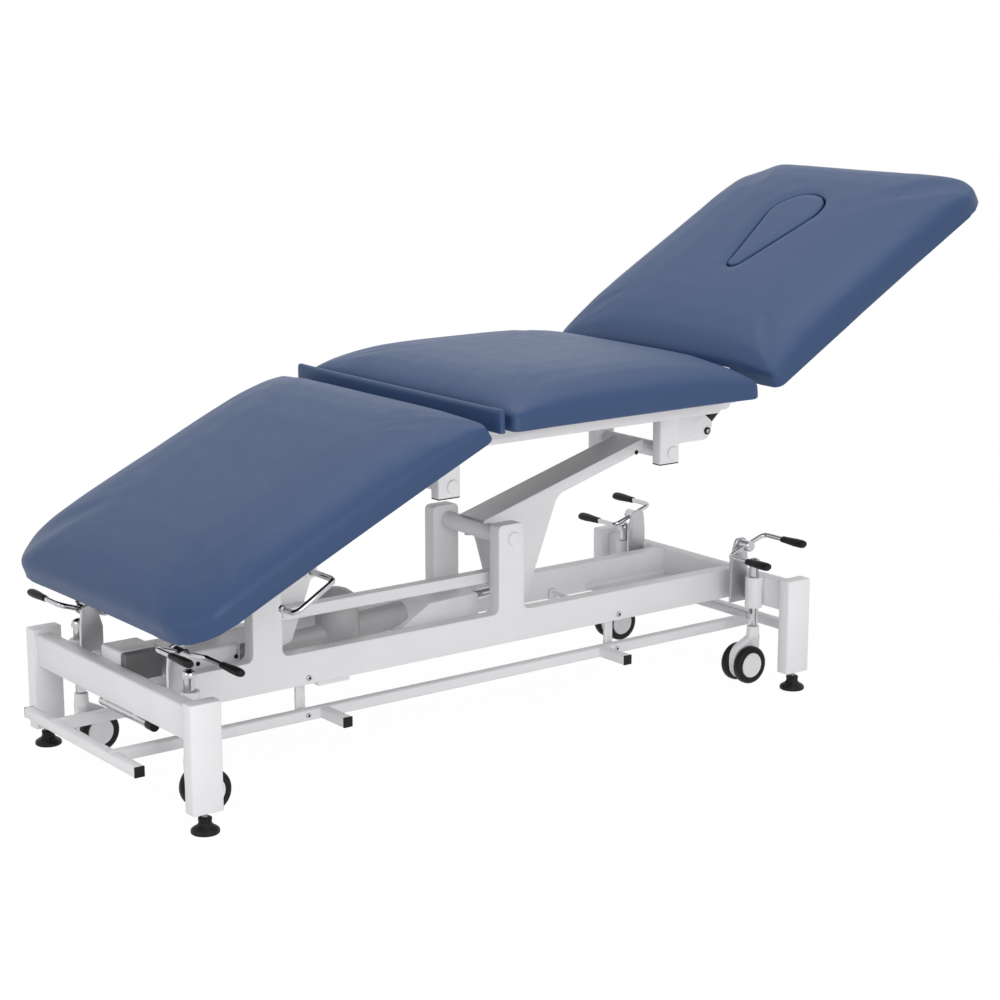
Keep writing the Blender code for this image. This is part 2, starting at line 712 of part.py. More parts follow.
def castor_stem(way, side):
    """A chrome post that slides in its sleeve, with a domed head and a socket for the hood."""
    at = (way * CASTOR_X, side * CASTOR_Y, 0)
    head = STEM_TOP - 0.017
    profile = [
        (0, STEM_BOTTOM), (STEM_RADIUS, STEM_BOTTOM), (STEM_RADIUS, head), (STEM_HEAD_RADIUS, head),
        (STEM_HEAD_RADIUS, head + 0.007), (STEM_HEAD_RADIUS * 0.8, head + 0.013),
        (STEM_HEAD_RADIUS * 0.4, STEM_TOP - 0.001), (0, STEM_TOP),
    ]
    socket_top = STEM_BOTTOM + SPIGOT_HEIGHT + CLEARANCE
    socket = bore((*at[:2], STEM_BOTTOM - 0.01), (*at[:2], socket_top), SPIGOT_RADIUS, FACETS_SMALL)
    return cut(turned(profile, at, sides=FACETS), socket)


def castor_hood(way, side):
    """The swivel part: a neck with a spigot, and a web that carries the axle between the wheels."""
    x, y = way * CASTOR_X, side * CASTOR_Y
    neck_top = STEM_BOTTOM - CLEARANCE
    neck_bottom = neck_top - NECK_HEIGHT
    profile = [
        (0, neck_bottom), (NECK_RADIUS * 1.1, neck_bottom), (NECK_RADIUS, neck_top - 0.008),
        (NECK_RADIUS, neck_top), (SPIGOT_RADIUS, neck_top), (SPIGOT_RADIUS, neck_top + SPIGOT_HEIGHT),
        (0, neck_top + SPIGOT_HEIGHT),
    ]
    neck = turned(profile, (x, y, 0), sides=FACETS)
    axle_x = x - way * CASTOR_TRAIL
    outer, inner = axle_x + way * HOOD_RADIUS, axle_x - way * HOOD_RADIUS
    low, high = AXLE_Z - HOOD_RADIUS, AXLE_Z + HOOD_RADIUS
    corners = [
        (inner, low, HOOD_RADIUS * 0.98), (outer, low, HOOD_RADIUS * 0.98),
        (x + way * NECK_RADIUS, neck_bottom + 0.004, 0), (x - way * NECK_RADIUS, neck_bottom + 0.004, 0),
        (inner, high, HOOD_RADIUS * 0.9),
    ]
    web = prism(rounded(*corners[::way], steps=5), y - HOOD_HALF_WIDTH, y + HOOD_HALF_WIDTH)
    reach = HOOD_HALF_WIDTH + 0.01
    axle = bore(*across(axle_x, AXLE_Z, y - reach, y + reach), AXLE_RADIUS, FACETS_SMALL)
    return cut(welded(web, neck), axle)


def castor_wheels(way, side):
    """Twin wheels on one axle, each with a rounded tread and a dished hub."""
    r = WHEEL_RADIUS
    out = WHEEL_HALF_TRACK
    half = [
        (0, out - 0.001), (r * 0.62, out - 0.003), (r * 0.70, out - 0.001), (r * 0.92, out),
        (r, out - 0.005), (r, WHEEL_INNER + 0.002), (AXLE_RADIUS, WHEEL_INNER),
    ]
    profile = [(radius, -offset) for radius, offset in half]
    profile += [(radius, offset) for radius, offset in reversed(half)]
    at = (way * (CASTOR_X - CASTOR_TRAIL), side * CASTOR_Y, AXLE_Z)
    return turned(profile, at, axis="Y")


def castor_pedal(way, side):
    """A rocker bent from rod, level, with a hub on the bracket's stub and a rubber grip on each arm."""
    x = way * CASTOR_X
    bar_y, end_y = side * PEDAL_BAR_Y, side * PEDAL_END_Y
    points = [
        (x - PEDAL_HALF_BAR, end_y - side * 0.004, PEDAL_Z), (x - PEDAL_HALF_BAR, bar_y, PEDAL_Z),
        (x + PEDAL_HALF_BAR, bar_y, PEDAL_Z), (x + PEDAL_HALF_BAR, end_y - side * 0.004, PEDAL_Z),
    ]
    parts = []
    r = GRIP_RADIUS
    for arm_x in (x - PEDAL_HALF_BAR, x + PEDAL_HALF_BAR):
        grip = [
            (0, 0), (r * 0.75, 0.001), (r, 0.008), (r * 0.9, GRIP_LENGTH * 0.5),
            (r * 0.75, GRIP_LENGTH), (0, GRIP_LENGTH),
        ]
        profile = grip if side < 0 else [(radius, -height) for radius, height in reversed(grip)]
        parts.append(turned(profile, (arm_x, end_y, PEDAL_Z), axis="Y", sides=FACETS_SMALL))
    seat = BRACKET_INNER + BRACKET_THICKNESS + CLEARANCE
    parts.append(rod(*across(x, PEDAL_Z, side * seat, side * PEDAL_HUB_END), PEDAL_HUB_RADIUS))
    socket_end = seat + PEDAL_STUB_LENGTH
    span = (side * (seat - 0.01), side * socket_end)
    socket = bore(*across(x, PEDAL_Z, *span), PEDAL_STUB_RADIUS, FACETS_SMALL)
    return cut(welded(bent_rod(points, PEDAL_ROD_RADIUS, PEDAL_BEND), *parts), socket)


def lift_arm(pivot_x):
    """A folded channel, level, with a gusset lever under its lower pivot and a tube at each end."""
    x, z = pivot_x, PIVOT_Z
    left = x + LEVER_X - LEVER_RADIUS
    right = x + LEVER_X + LEVER_RADIUS
    tip = z - LEVER_DROP - LEVER_RADIUS
    end = x + ARM_LENGTH - TORSION_RADIUS * 0.6
    corners = [
        (x - ARM_TAIL, z + ARM_RISE, 0.003), (x - ARM_TAIL, z - TORSION_RADIUS, 0.008),
        (left, z - TORSION_RADIUS * 2, 0.010), (left, tip, LEVER_RADIUS * 0.9),
        (right, tip, LEVER_RADIUS * 0.7), (x + GUSSET_REACH, z, 0.030),
        (end, z, 0), (end, z + ARM_RISE, 0),
    ]
    shell = prism(rounded(*corners), -ARM_HALF_WIDTH, ARM_HALF_WIDTH)
    inside = ARM_HALF_WIDTH - ARM_SHEET
    past = 0.05
    hollow = bar(
        (x - ARM_TAIL - past, -inside, tip - past), (end + past, inside, z + ARM_RISE - ARM_SHEET)
    )
    parts = []
    for at, inner, outer in ((x, RAIL_INNER, RAIL_OUTER), (x + ARM_LENGTH, HANGER_INNER, HANGER_OUTER)):
        tube = inner - CLEARANCE
        face = outer + CLEARANCE
        half = [
            (TORSION_RADIUS, tube), (SHAFT_RADIUS, tube), (SHAFT_RADIUS, face), (PLUG_RADIUS, face),
            (PLUG_RADIUS * 0.9, face + PLUG_HEIGHT), (0, face + PLUG_HEIGHT),
        ]
        profile = [(radius, -offset) for radius, offset in reversed(half)] + half
        parts.append(turned(profile, (at, 0, z), axis="Y", sides=FACETS))
    bar_outer = ARM_HALF_WIDTH + LINK_GAP + LINK_WIDTH + 0.002
    pin = across(x + LINK_PIN_X, z - LINK_PIN_DROP, -bar_outer, -inside - ARM_SHEET / 2)
    parts.append(rod(*pin, LINK_PIN_RADIUS, FACETS_SMALL))
    for side in SIDES.values():
        bolt = across(x + LEVER_X, z - LEVER_DROP, side * (inside + 0.002), side * (ARM_HALF_WIDTH + 0.004))
        parts.append(rod(*bolt, 0.007, 6))
    return welded(cut(shell, hollow), *parts)


def link_bar():
    """A flat tube between the levers of the two arms, with a bore at each end."""
    start = swung(PIVOT_X + LINK_PIN_X, PIVOT_Z - LINK_PIN_DROP, PIVOT_X, PIVOT_Z, ARM_REST)
    half = LINK_HEIGHT / 2
    right = start[0] + half
    left = start[0] - ARM_SPACING - half
    round_end = half * 0.9
    corners = [
        (left, start[1] - half, round_end), (right, start[1] - half, round_end),
        (right, start[1] + half, round_end), (left, start[1] + half, round_end),
    ]
    inner = -ARM_HALF_WIDTH - LINK_GAP
    solid = prism(rounded(*corners), inner - LINK_WIDTH, inner)
    holes = [
        bore(
            *across(start[0] - shift, start[1], inner - LINK_WIDTH - 0.01, inner + 0.01),
            LINK_PIN_RADIUS, FACETS_SMALL,
        )
        for shift in (0, ARM_SPACING)
    ]
    return cut(solid, *holes)


def actuator_body(x):
    """Trunnion, rear tube, domed motor, spindle tube and wedge-shaped nose, along +X from the trunnion."""
    z = TRUNNION_Z
    reach = RAIL_INNER + TRUNNION_SEAT
    rear = rod((x - REAR_TUBE_TAIL, 0, z), (x + MOTOR_AT, 0, z), REAR_TUBE_RADIUS)
    trunnion = rod(*across(x, z, -reach, reach), TRUNNION_RADIUS)
    r = MOTOR_RADIUS
    dome = MOTOR_TOP - MOTOR_SHOULDER
    profile = [(0, MOTOR_BOTTOM), (r * 0.9, MOTOR_BOTTOM), (r, MOTOR_BOTTOM + 0.004), (r, MOTOR_SHOULDER)]
    for step in (1, 2, 3, 4):
        angle = math.pi / 2 * step / 5
        profile.append((r * math.cos(angle), MOTOR_SHOULDER + dome * math.sin(angle)))
    profile.append((0, MOTOR_TOP))
    motor = turned(profile, (x + MOTOR_AT, 0, z))
    spindle = rod((x + MOTOR_AT, 0, z), (x + NOSE_START + 0.03, 0, z), SPINDLE_TUBE_RADIUS)
    corners = [
        (x + NOSE_START, z + NOSE_BOTTOM, 0.004), (x + NOSE_END, z + NOSE_BOTTOM, 0.004),
        (x + NOSE_END, z + NOSE_TOP * 0.9, 0.004), (x + NOSE_SHOULDER, z + NOSE_TOP, 0.012),
        (x + NOSE_START, z + NOSE_BOTTOM + 0.010, 0.004),
    ]
    nose = prism(rounded(*corners), -NOSE_HALF_WIDTH, NOSE_HALF_WIDTH)
    channel = bore((x + PUSH_ROD_START - 0.012, 0, z), (x + NOSE_END + 0.02, 0, z), PUSH_ROD_RADIUS)
    return cut(welded(rear, trunnion, motor, spindle, nose), channel)


def push_rod(x, length):
    """The actuator's rod, with its eye between the cheeks of the lever."""
    z = TRUNNION_Z
    shaft = rod((x + PUSH_ROD_START, 0, z), (x + length - PUSH_EYE_RADIUS * 0.5, 0, z), PUSH_ROD_RADIUS)
    half = PUSH_EYE_WIDTH / 2
    eye = rod(*across(x + length, z, -half, half), PUSH_EYE_RADIUS)
    return welded(shaft, eye)


def foot_bar():
    """The switch bar: two long tubes, two cross tubes, four stubs and the pins that it hangs on."""
    top = BAR_BOTTOM + BAR_TUBE
    edge = 0.002
    tubes = []
    for side in SIDES.values():
        tubes.append(
            bar((-BAR_HALF_LENGTH + edge, side * BAR_INNER, BAR_BOTTOM),
                (BAR_HALF_LENGTH - edge, side * BAR_OUTER, top), along=0, edge=edge, segments=1)
        )
        for way in ENDS.values():
            x = way * STUB_X
            tubes.append(
                bar((x - BAR_TUBE / 2, side * (BAR_OUTER - edge), BAR_BOTTOM + 0.0004),
                    (x + BAR_TUBE / 2, side * (BAR_OUTER + STUB_REACH), top - 0.0004),
                    along=1, edge=edge, segments=1)
            )
            pin_end = side * (BAR_INNER - YOKE_PLATE - YOKE_HALF_WIDTH)
            pin = across(way * YOKE_X, BAR_MIDDLE, side * (BAR_INNER + edge), pin_end)
            tubes.append(rod(*pin, YOKE_PIN_RADIUS, FACETS_SMALL))
    for way in ENDS.values():
        tubes.append(
            bar((way * (BAR_HALF_LENGTH - BAR_TUBE), -BAR_END_HALF_WIDTH, BAR_BOTTOM + 0.0002),
                (way * BAR_HALF_LENGTH, BAR_END_HALF_WIDTH, top - 0.0002), along=1, edge=edge, segments=1)
        )
    return welded(*tubes)


def bar_yoke(way):
    """Two swing plates on one cross rod, which turns in the rails and carries the switch bar's pins."""
    x = way * YOKE_X
    reach = RAIL_INNER + YOKE_SEAT
    outer = RAIL_INNER - CLEARANCE
    inner = outer - YOKE_PLATE
    parts = []
    holes = []
    r = YOKE_HALF_WIDTH
    for side in SIDES.values():
        corners = [
            (x - r, BAR_MIDDLE - r, r * 0.9), (x + r, BAR_MIDDLE - r, r * 0.9),
            (x + r, YOKE_PIVOT_Z + r, r * 0.9), (x - r, YOKE_PIVOT_Z + r, r * 0.9),
        ]
        parts.append(prism(rounded(*corners), *sorted((side * inner, side * outer))))
        holes.append(
            bore(
                *across(x, BAR_MIDDLE, side * (inner - 0.01), side * (outer + 0.01)),
                YOKE_PIN_RADIUS, FACETS_SMALL,
            )
        )
    cross = rod(*across(x, YOKE_PIVOT_Z, -reach, reach), YOKE_ROD_RADIUS, FACETS_SMALL)
    return cut(welded(cross, *parts), *holes)


def control_box():
    """The control box with its two mounting flanges, which reach the rails."""
    x0, x1 = CONTROL_START, CONTROL_END
    case = bar(
        (x0, -CONTROL_HALF_WIDTH, CONTROL_BOTTOM),
        (x1, CONTROL_HALF_WIDTH, CONTROL_BOTTOM + CONTROL_HEIGHT),
        along=0, edge=0.005,
    )
    reach = RAIL_INNER - CLEARANCE
    flange = bar((x0 + 0.02, -reach, CONTROL_BOTTOM + 0.001),
                 (x1 - 0.02, reach, CONTROL_BOTTOM + CONTROL_FLANGE))
    return welded(case, flange)


def power_box():
    """The power supply, hung on the foot beam, with its end cap."""
    x0 = POWER_START
    y0, y1 = POWER_Y - POWER_WIDTH / 2, POWER_Y + POWER_WIDTH / 2
    case = bar((x0, y0 + 0.02, POWER_BOTTOM), (x0 + POWER_LENGTH, y1, POWER_BOTTOM + POWER_HEIGHT),
               along=1, edge=0.006)
    cap = bar((x0 + 0.002, y0, POWER_BOTTOM + 0.002),
              (x0 + POWER_LENGTH - 0.002, y0 + 0.025, POWER_BOTTOM + POWER_HEIGHT - 0.002),
              along=1, edge=0.005)
    return welded(case, cap)


def cable_tray():
    """A sheet between the rails at the head end, with a lip along each rail."""
    end = BEAM_INNER - CLEARANCE
    reach = RAIL_INNER - CLEARANCE
    sheet = bar((TRAY_START, -reach, TRAY_BOTTOM), (end, reach, TRAY_BOTTOM + TRAY_SHEET))
    lips = [
        bar((TRAY_START, side * (reach - TRAY_SHEET), TRAY_BOTTOM + TRAY_SHEET / 2),
            (end, side * reach, TRAY_BOTTOM + TRAY_LIP))
        for side in SIDES.values()
    ]
    return welded(sheet, *lips)


def stow_rod():
    """A chrome rod with a rubber end, held under the foot beam by two clips."""
    x = -(BEAM_INNER + BEAM_OUTER) / 2
    z = FRAME_BOTTOM - STOW_ROD_DROP
    body = rod((x, STOW_ROD_NEAR, z), (x, STOW_ROD_FAR, z), STOW_ROD_RADIUS)
    sleeve = rod((x, STOW_ROD_NEAR - 0.003, z), (x, STOW_ROD_NEAR + 0.020, z), STOW_ROD_RADIUS + 0.0012)
    clips = [
        bar((x - 0.006, y - 0.006, z), (x + 0.006, y + 0.006, FRAME_BOTTOM - CLEARANCE))
        for y in (STOW_ROD_NEAR + 0.06, STOW_ROD_FAR - 0.02)
    ]
    return welded(body, sleeve, *clips)


def switch_cover():
    """The small cover of the bar's switch, under the near rail."""
    y = -(RAIL_INNER + RAIL_OUTER) / 2
    return bar(
        (SWITCH_X - SWITCH_LENGTH / 2, y - SWITCH_DEPTH / 2, FRAME_BOTTOM - SWITCH_DROP),
        (SWITCH_X + SWITCH_LENGTH / 2, y + SWITCH_DEPTH / 2, FRAME_BOTTOM + 0.002), along=1, edge=RAIL_EDGE,
    )


def hinge_plate(x0, x1, side, inner, outer):
    """A plate from a rail up to the back hinge in the gap between the cushions."""
    r = HINGE_EYE
    top = TOP_RAIL_TOP - 0.0012
    low = TOP_RAIL_BOTTOM + 0.002
    corners = [
        (x0, low, 0), (x1, low, 0), (x1, top, 0),
    ]
    eye = [(BACK_HINGE_X + r, BACK_HINGE_Z + r, r * 0.95), (BACK_HINGE_X - r, BACK_HINGE_Z + r, r * 0.95)]
    if x1 > BACK_HINGE_X + r:
        corners += [(BACK_HINGE_X + r, top, 0), *eye]
        corners[0] = (BACK_HINGE_X - r, low, r)
    else:
        corners = [(x0, low, 0), (BACK_HINGE_X + r, low, r), *eye, (BACK_HINGE_X - r, top, 0), (x0, top, 0)]
    return prism(rounded(*corners), *sorted((side * inner, side * outer)))


def end_rounding(side):
    """A cutter for a top rail's foot corner, round the leg hinge: the leg cushion swings past it."""
    radius = TOP_RAIL_TOP - LEG_HINGE_Z - 2 * CLEARANCE
    past = 0.01
    steps = 6
    outline = []
    for step in range(steps + 1):
        angle = math.radians(60) * step / steps
        outline.append((LEG_HINGE_X - radius * math.sin(angle), LEG_HINGE_Z + radius * math.cos(angle)))
    left = outline[-1][0] - past
    outline += [(left, outline[-1][1]), (left, TOP_RAIL_TOP + past), (LEG_HINGE_X, TOP_RAIL_TOP + past)]
    return prism(outline, *sorted((side * (TOP_RAIL_INNER - past), side * (TOP_RAIL_OUTER + past))))


def seat_rail(side):
    """A top rail with the bore of the leg hinge and the plate of the back hinge."""
    solid = bar(
        (TOP_RAIL_FOOT, side * TOP_RAIL_INNER, TOP_RAIL_BOTTOM),
        (TOP_RAIL_HEAD, side * TOP_RAIL_OUTER, TOP_RAIL_TOP), along=0, edge=RAIL_EDGE,
    )
    plate_outer = TOP_RAIL_INNER + HINGE_PLATE
    plate = hinge_plate(TOP_RAIL_HEAD - 0.03, BACK_HINGE_X, side, TOP_RAIL_INNER, plate_outer)
    past = 0.01
    span = (side * (TOP_RAIL_INNER - past), side * (TOP_RAIL_OUTER + past))
    holes = [
        bore(*across(LEG_HINGE_X, LEG_HINGE_Z, *span), HINGE_PIN_RADIUS, FACETS_SMALL),
        bore(*across(BACK_HINGE_X, BACK_HINGE_Z, *span), HINGE_PIN_RADIUS, FACETS_SMALL),
    ]
    return cut(welded(solid, plate), end_rounding(side), *holes)


def hanger(pivot_x):
    """A cross tube with two drop tubes, open below, that carry an arm's upper shaft."""
    x = pivot_x + HANGER_OFFSET
    reach = TOP_RAIL_INNER - CLEARANCE
    cross = bar((x - CROSS_TUBE / 2, -reach, TOP_RAIL_BOTTOM), (x + CROSS_TUBE / 2, reach, TOP_RAIL_TOP),
                along=1, edge=RAIL_EDGE)
    parts = []
    cutters = []
    half = HANGER_WIDTH / 2
    wall = HANGER_WALL
    for side in SIDES.values():
        parts.append(
            bar((x - half, side * HANGER_INNER, HANGER_BOTTOM),
                (x + half, side * HANGER_OUTER, TOP_RAIL_BOTTOM + 0.010), along=2, edge=RAIL_EDGE)
        )
        cutters.append(
            bar((x - half + wall, side * (HANGER_INNER + wall), HANGER_BOTTOM - 0.01),
                (x + half - wall, side * (HANGER_OUTER - wall), HANGER_BOTTOM + HANGER_RECESS))
        )
        span = (side * (HANGER_INNER - 0.01), side * (HANGER_OUTER + 0.01))
        cutters.append(bore(*across(pivot_x, TOP_PIVOT_Z, *span), SHAFT_RADIUS))
    return cut(welded(cross, *parts), *cutters)


def hanger_with_leg_spring_pin():
    """The foot hanger and the upper pin of the leg section's gas spring."""
    x = TOP_PIVOT_X - ARM_SPACING
    end = LEG_SPRING_Y - SPRING_EYE_WIDTH / 2 - 0.003
    pin = across(x, TOP_PIVOT_Z + LEG_SPRING_TOP_RISE, end, HANGER_INNER + 0.002)
    return welded(hanger(x), rod(*pin, SPRING_PIN_RADIUS, FACETS_SMALL))


def hanger_with_back_lug():
    """The head hanger, with the lug plate and the lower pin of the back section's gas spring."""
    x0 = TOP_PIVOT_X + HANGER_OFFSET
    r = 0.016
    corners = [
        (x0, BACK_LUG_Z - 0.018, 0), (BACK_LUG_X + 0.004, BACK_LUG_Z - 0.018, r),
        (BACK_LUG_X + 0.017, BACK_LUG_Z + 0.016, 0.010), (BACK_LUG_X - 0.005, BACK_LUG_Z + 0.034, 0.008),
        (x0, BACK_LUG_Z + 0.034, 0),
    ]
    sheet = 0.005
    face = HANGER_OUTER - 0.0005
    lug = prism(rounded(*corners), -face, -face + sheet)
    pin_end = BACK_SPRING_Y + SPRING_EYE_WIDTH / 2 + 0.003
    pin = rod(*across(BACK_LUG_X, BACK_LUG_Z, -face + sheet / 2, pin_end), SPRING_PIN_RADIUS, FACETS_SMALL)
    head = rod(*across(BACK_LUG_X, BACK_LUG_Z, -face - 0.004, -face + 0.002), 0.0075, 6)
    return welded(hanger(TOP_PIVOT_X), lug, pin, head)


def leg_rail(side):
    """A rail of the leg section with its hinge boss and pin. The near one carries the release handle."""
    bottom = TOP_RAIL_TOP - LEG_RAIL_HEIGHT
    inner, outer = side * SECTION_RAIL_INNER, side * SECTION_RAIL_OUTER
    solid = bar((LEG_HINGE_X - LEG_RAIL_LENGTH, inner, bottom), (LEG_HINGE_X, outer, TOP_RAIL_TOP),
                along=0, edge=RAIL_EDGE)
    boss = rod(*across(LEG_HINGE_X, LEG_HINGE_Z, inner, outer), TOP_RAIL_TOP - LEG_HINGE_Z - CLEARANCE)
    span = (inner, side * (TOP_RAIL_OUTER + PIN_PROUD))
    pin = rod(*across(LEG_HINGE_X, LEG_HINGE_Z, *span), HINGE_PIN_RADIUS, FACETS_SMALL)
    if side > 0:
        return welded(solid, boss, pin)
    lug_outline = rounded(
        (HANDLE_X - 0.013, bottom + 0.004, 0), (HANDLE_X - 0.013, HANDLE_Z - 0.013, 0.012),
        (HANDLE_X + 0.013, HANDLE_Z - 0.013, 0.012), (HANDLE_X + 0.013, bottom + 0.004, 0),
    )
    lug = prism(lug_outline, -SECTION_RAIL_OUTER + 0.003, -SECTION_RAIL_OUTER + 0.009)
    span = (-SECTION_RAIL_OUTER, -SECTION_RAIL_INNER)
    hole = bore(*across(HANDLE_X, HANDLE_Z, *span), HANDLE_RADIUS, FACETS_SMALL)
    return cut(welded(solid, boss, pin, lug), hole)


def back_rail(side):
    """A rail of the back section with the plate and the pin of its hinge."""
    inner, outer = side * SECTION_RAIL_INNER, side * SECTION_RAIL_OUTER
    solid = bar((BACK_RAIL_FOOT, inner, TOP_RAIL_BOTTOM),
                (BACK_RAIL_FOOT + BACK_RAIL_LENGTH, outer, TOP_RAIL_TOP), along=0, edge=RAIL_EDGE)
    plate = hinge_plate(
        BACK_HINGE_X, BACK_RAIL_FOOT + 0.02, side, SECTION_RAIL_OUTER - HINGE_PLATE, SECTION_RAIL_OUTER
    )
    pin_end = side * (TOP_RAIL_INNER + HINGE_PLATE + 2 * PIN_PROUD)
    span = (side * (SECTION_RAIL_OUTER - 0.004), pin_end)
    pin = rod(*across(BACK_HINGE_X, BACK_HINGE_Z, *span), HINGE_PIN_RADIUS, FACETS_SMALL)
    return welded(solid, plate, pin)


def crossbar(x, z, y):
    """A tube between a section's rails, with a fork for the eye of its gas spring."""
    reach = SECTION_RAIL_INNER - CLEARANCE
    half = SECTION_CROSSBAR / 2
    bottom = TOP_RAIL_TOP - SECTION_CROSSBAR
    parts = []
    r = SPRING_EYE_RADIUS
    for side in SIDES.values():
        inner = y + side * (SPRING_EYE_WIDTH / 2 + FORK_GAP)
        outer = inner + side * FORK_SHEET
        corners = [
            (x - r, z - r, r * 0.9), (x + r, z - r, r * 0.9),
            (x + r, bottom + 0.004, 0), (x - r, bottom + 0.004, 0),
        ]
        parts.append(prism(rounded(*corners), *sorted((inner, outer))))
        parts.append(rod(*across(x, z, outer - side * 0.001, outer + side * 0.004), 0.006, 6))
    tube = bar((x - half, -reach, bottom), (x + half, reach, TOP_RAIL_TOP), along=1, edge=RAIL_EDGE)
    return welded(tube, *parts)


def spring_cylinder(at, y, length, inner):
    """A gas spring's cylinder along +X from its eye."""
    x, z = at
    half = SPRING_EYE_WIDTH / 2
    eye = rod(*across(x, z, y - half, y + half), SPRING_EYE_RADIUS)
    case = rod((x + SPRING_EYE_RADIUS * 0.7, y, z), (x + length, y, z), SPRING_RADIUS)
    pin_hole = bore(*across(x, z, y - half - 0.01, y + half + 0.01), SPRING_PIN_RADIUS, FACETS_SMALL)
    channel = bore((x + inner, y, z), (x + length + 0.01, y, z), SPRING_ROD_RADIUS, FACETS_SMALL)
    return cut(welded(eye, case), pin_hole, channel)


def spring_rod(at, y, start, length):
    """A gas spring's rod and end eye along +X."""
    x, z = at
    half = SPRING_EYE_WIDTH / 2
    end = x + length - SPRING_EYE_RADIUS * 0.5
    shaft = rod((x + start, y, z), (end, y, z), SPRING_ROD_RADIUS, FACETS_SMALL)
    neck = x + length - SPRING_EYE_RADIUS * 0.5
    collar = rod((neck - SPRING_COLLAR_LENGTH, y, z), (neck, y, z), SPRING_COLLAR_RADIUS, FACETS_SMALL)
    eye = rod(*across(x + length, z, y - half, y + half), SPRING_EYE_RADIUS * 0.9)
    return welded(shaft, collar, eye)


def release_handle():
    """A rod bent to a stirrup that hangs on the near leg rail, level."""
    tip_x, tip_z = HANDLE_X - HANDLE_REACH, HANDLE_Z - HANDLE_FALL
    points = [
        (HANDLE_X, HANDLE_ROOT, HANDLE_Z), (HANDLE_X, HANDLE_OUTER, HANDLE_Z),
        (tip_x, HANDLE_OUTER, tip_z), (tip_x, HANDLE_TIP, tip_z),
    ]
    span = across(tip_x, tip_z, HANDLE_TIP - 0.008, HANDLE_TIP + 0.002)
    collar = rod(*span, HANDLE_COLLAR, FACETS_SMALL)
    return welded(bent_rod(points, HANDLE_RADIUS, HANDLE_BEND), collar)


def gap_strip():
    """A thin padded board that stands across the gap between the leg section and the seat."""
    solid = bar(
        (STRIP_FOOT, -HALF_WIDTH + 0.003, CUSHION_BOTTOM),
        (STRIP_FOOT + STRIP_THICKNESS, HALF_WIDTH - 0.003, CUSHION_BOTTOM + STRIP_HEIGHT),
    )
    edges = [e for e in solid.edges if sum(v.co.z for v in e.verts) / 2 > CUSHION_BOTTOM + 0.001]
    bmesh.ops.bevel(solid, geom=edges, offset=STRIP_THICKNESS * 0.45, segments=3, profile=0.5, affect="EDGES")
    return solid


def build_base(base, paint, chrome, rubber, plastic, grey):
    """The fixed frame with its boxes."""
    for name, side in SIDES.items():
        frame = side_frame(side)
        if side < 0:
            frame = welded(frame, switch_cover())
        piece("side_frame_" + name, frame, paint, base)
    for end, way in ENDS.items():
        piece(end + "_beam", end_beam(way), paint, base)
        for name, side in SIDES.items():
            piece(f"leg_{name}_{end}", leg(way, side), paint, base)
            piece(f"levelling_foot_{name}_{end}", levelling_foot(way, side), rubber, base)
    piece("control_box", control_box(), plastic, base)
    piece("power_box", power_box(), plastic, base)
    piece("cable_tray", cable_tray(), grey, base)
    piece("stow_rod", stow_rod(), chrome, base)


def build_castors(base, chrome, plastic, rubber):
    """Four retracting castors, each with its own pedal."""
    for end, way in ENDS.items():
        for name, side in SIDES.items():
            label = f"_{name}_{end}"
            x, y = way * CASTOR_X, side * CASTOR_Y
            pedal = Body("pedal" + label, (x, side * PEDAL_BAR_Y, PEDAL_Z), base, way * PEDAL_TILT)
            piece("castor_pedal" + label, castor_pedal(way, side), chrome, pedal)
            stem = Body("stem" + label, (x, y, STEM_BOTTOM), base)
            piece("castor_stem" + label, castor_stem(way, side), chrome, stem)
            hood = Body("hood" + label, (x, y, STEM_BOTTOM), stem)
            piece("castor_hood" + label, castor_hood(way, side), plastic, hood)
            wheels = Body("wheels" + label, (x - way * CASTOR_TRAIL, y, AXLE_Z), hood)
            piece("castor_wheels" + label, castor_wheels(way, side), rubber, wheels)


def build_foot_bar(base, paint):
    """The switch bar on its two swing yokes."""
    for end, way in ENDS.items():
        yoke = Body("yoke_" + end, (way * YOKE_X, 0, YOKE_PIVOT_Z), base)
        piece("bar_yoke_" + end, bar_yoke(way), paint, yoke)
        if way < 0:
            hung = Body("foot_bar", (way * YOKE_X, 0, BAR_MIDDLE), yoke)
            piece("foot_bar", foot_bar(), paint, hung)


def build_lift(base, paint, grey, chrome):
    """Both arms, their link and the actuator. Returns the body of the upper arm's lower pivot."""
    main = Body("lift_arm", (PIVOT_X, 0, PIVOT_Z), base, ARM_REST)
    piece("lift_arm", lift_arm(PIVOT_X), paint, main)
    foot = Body("foot_arm", (TRUNNION_X, 0, PIVOT_Z), base, ARM_REST)
    piece("foot_arm", lift_arm(TRUNNION_X), paint, foot)
    pin = swung(PIVOT_X + LINK_PIN_X, PIVOT_Z - LINK_PIN_DROP, PIVOT_X, PIVOT_Z, ARM_REST)
    link = Body("link_bar", (pin[0], 0, pin[1]), base)
    piece("link_bar", link_bar(), paint, link)
    lever = swung(PIVOT_X + LEVER_X, PIVOT_Z - LEVER_DROP, PIVOT_X, PIVOT_Z, ARM_REST)
    reach = Vector((lever[0] - TRUNNION_X, lever[1] - TRUNNION_Z))
    tilt = math.atan2(reach.y, reach.x)
    motor = Body("actuator", (TRUNNION_X, 0, TRUNNION_Z), base, tilt)
    piece("actuator_body", actuator_body(TRUNNION_X), grey, motor)
    rod_body = Body("push_rod", (TRUNNION_X, 0, TRUNNION_Z), motor)
    piece("actuator_rod", push_rod(TRUNNION_X, reach.length), chrome, rod_body)


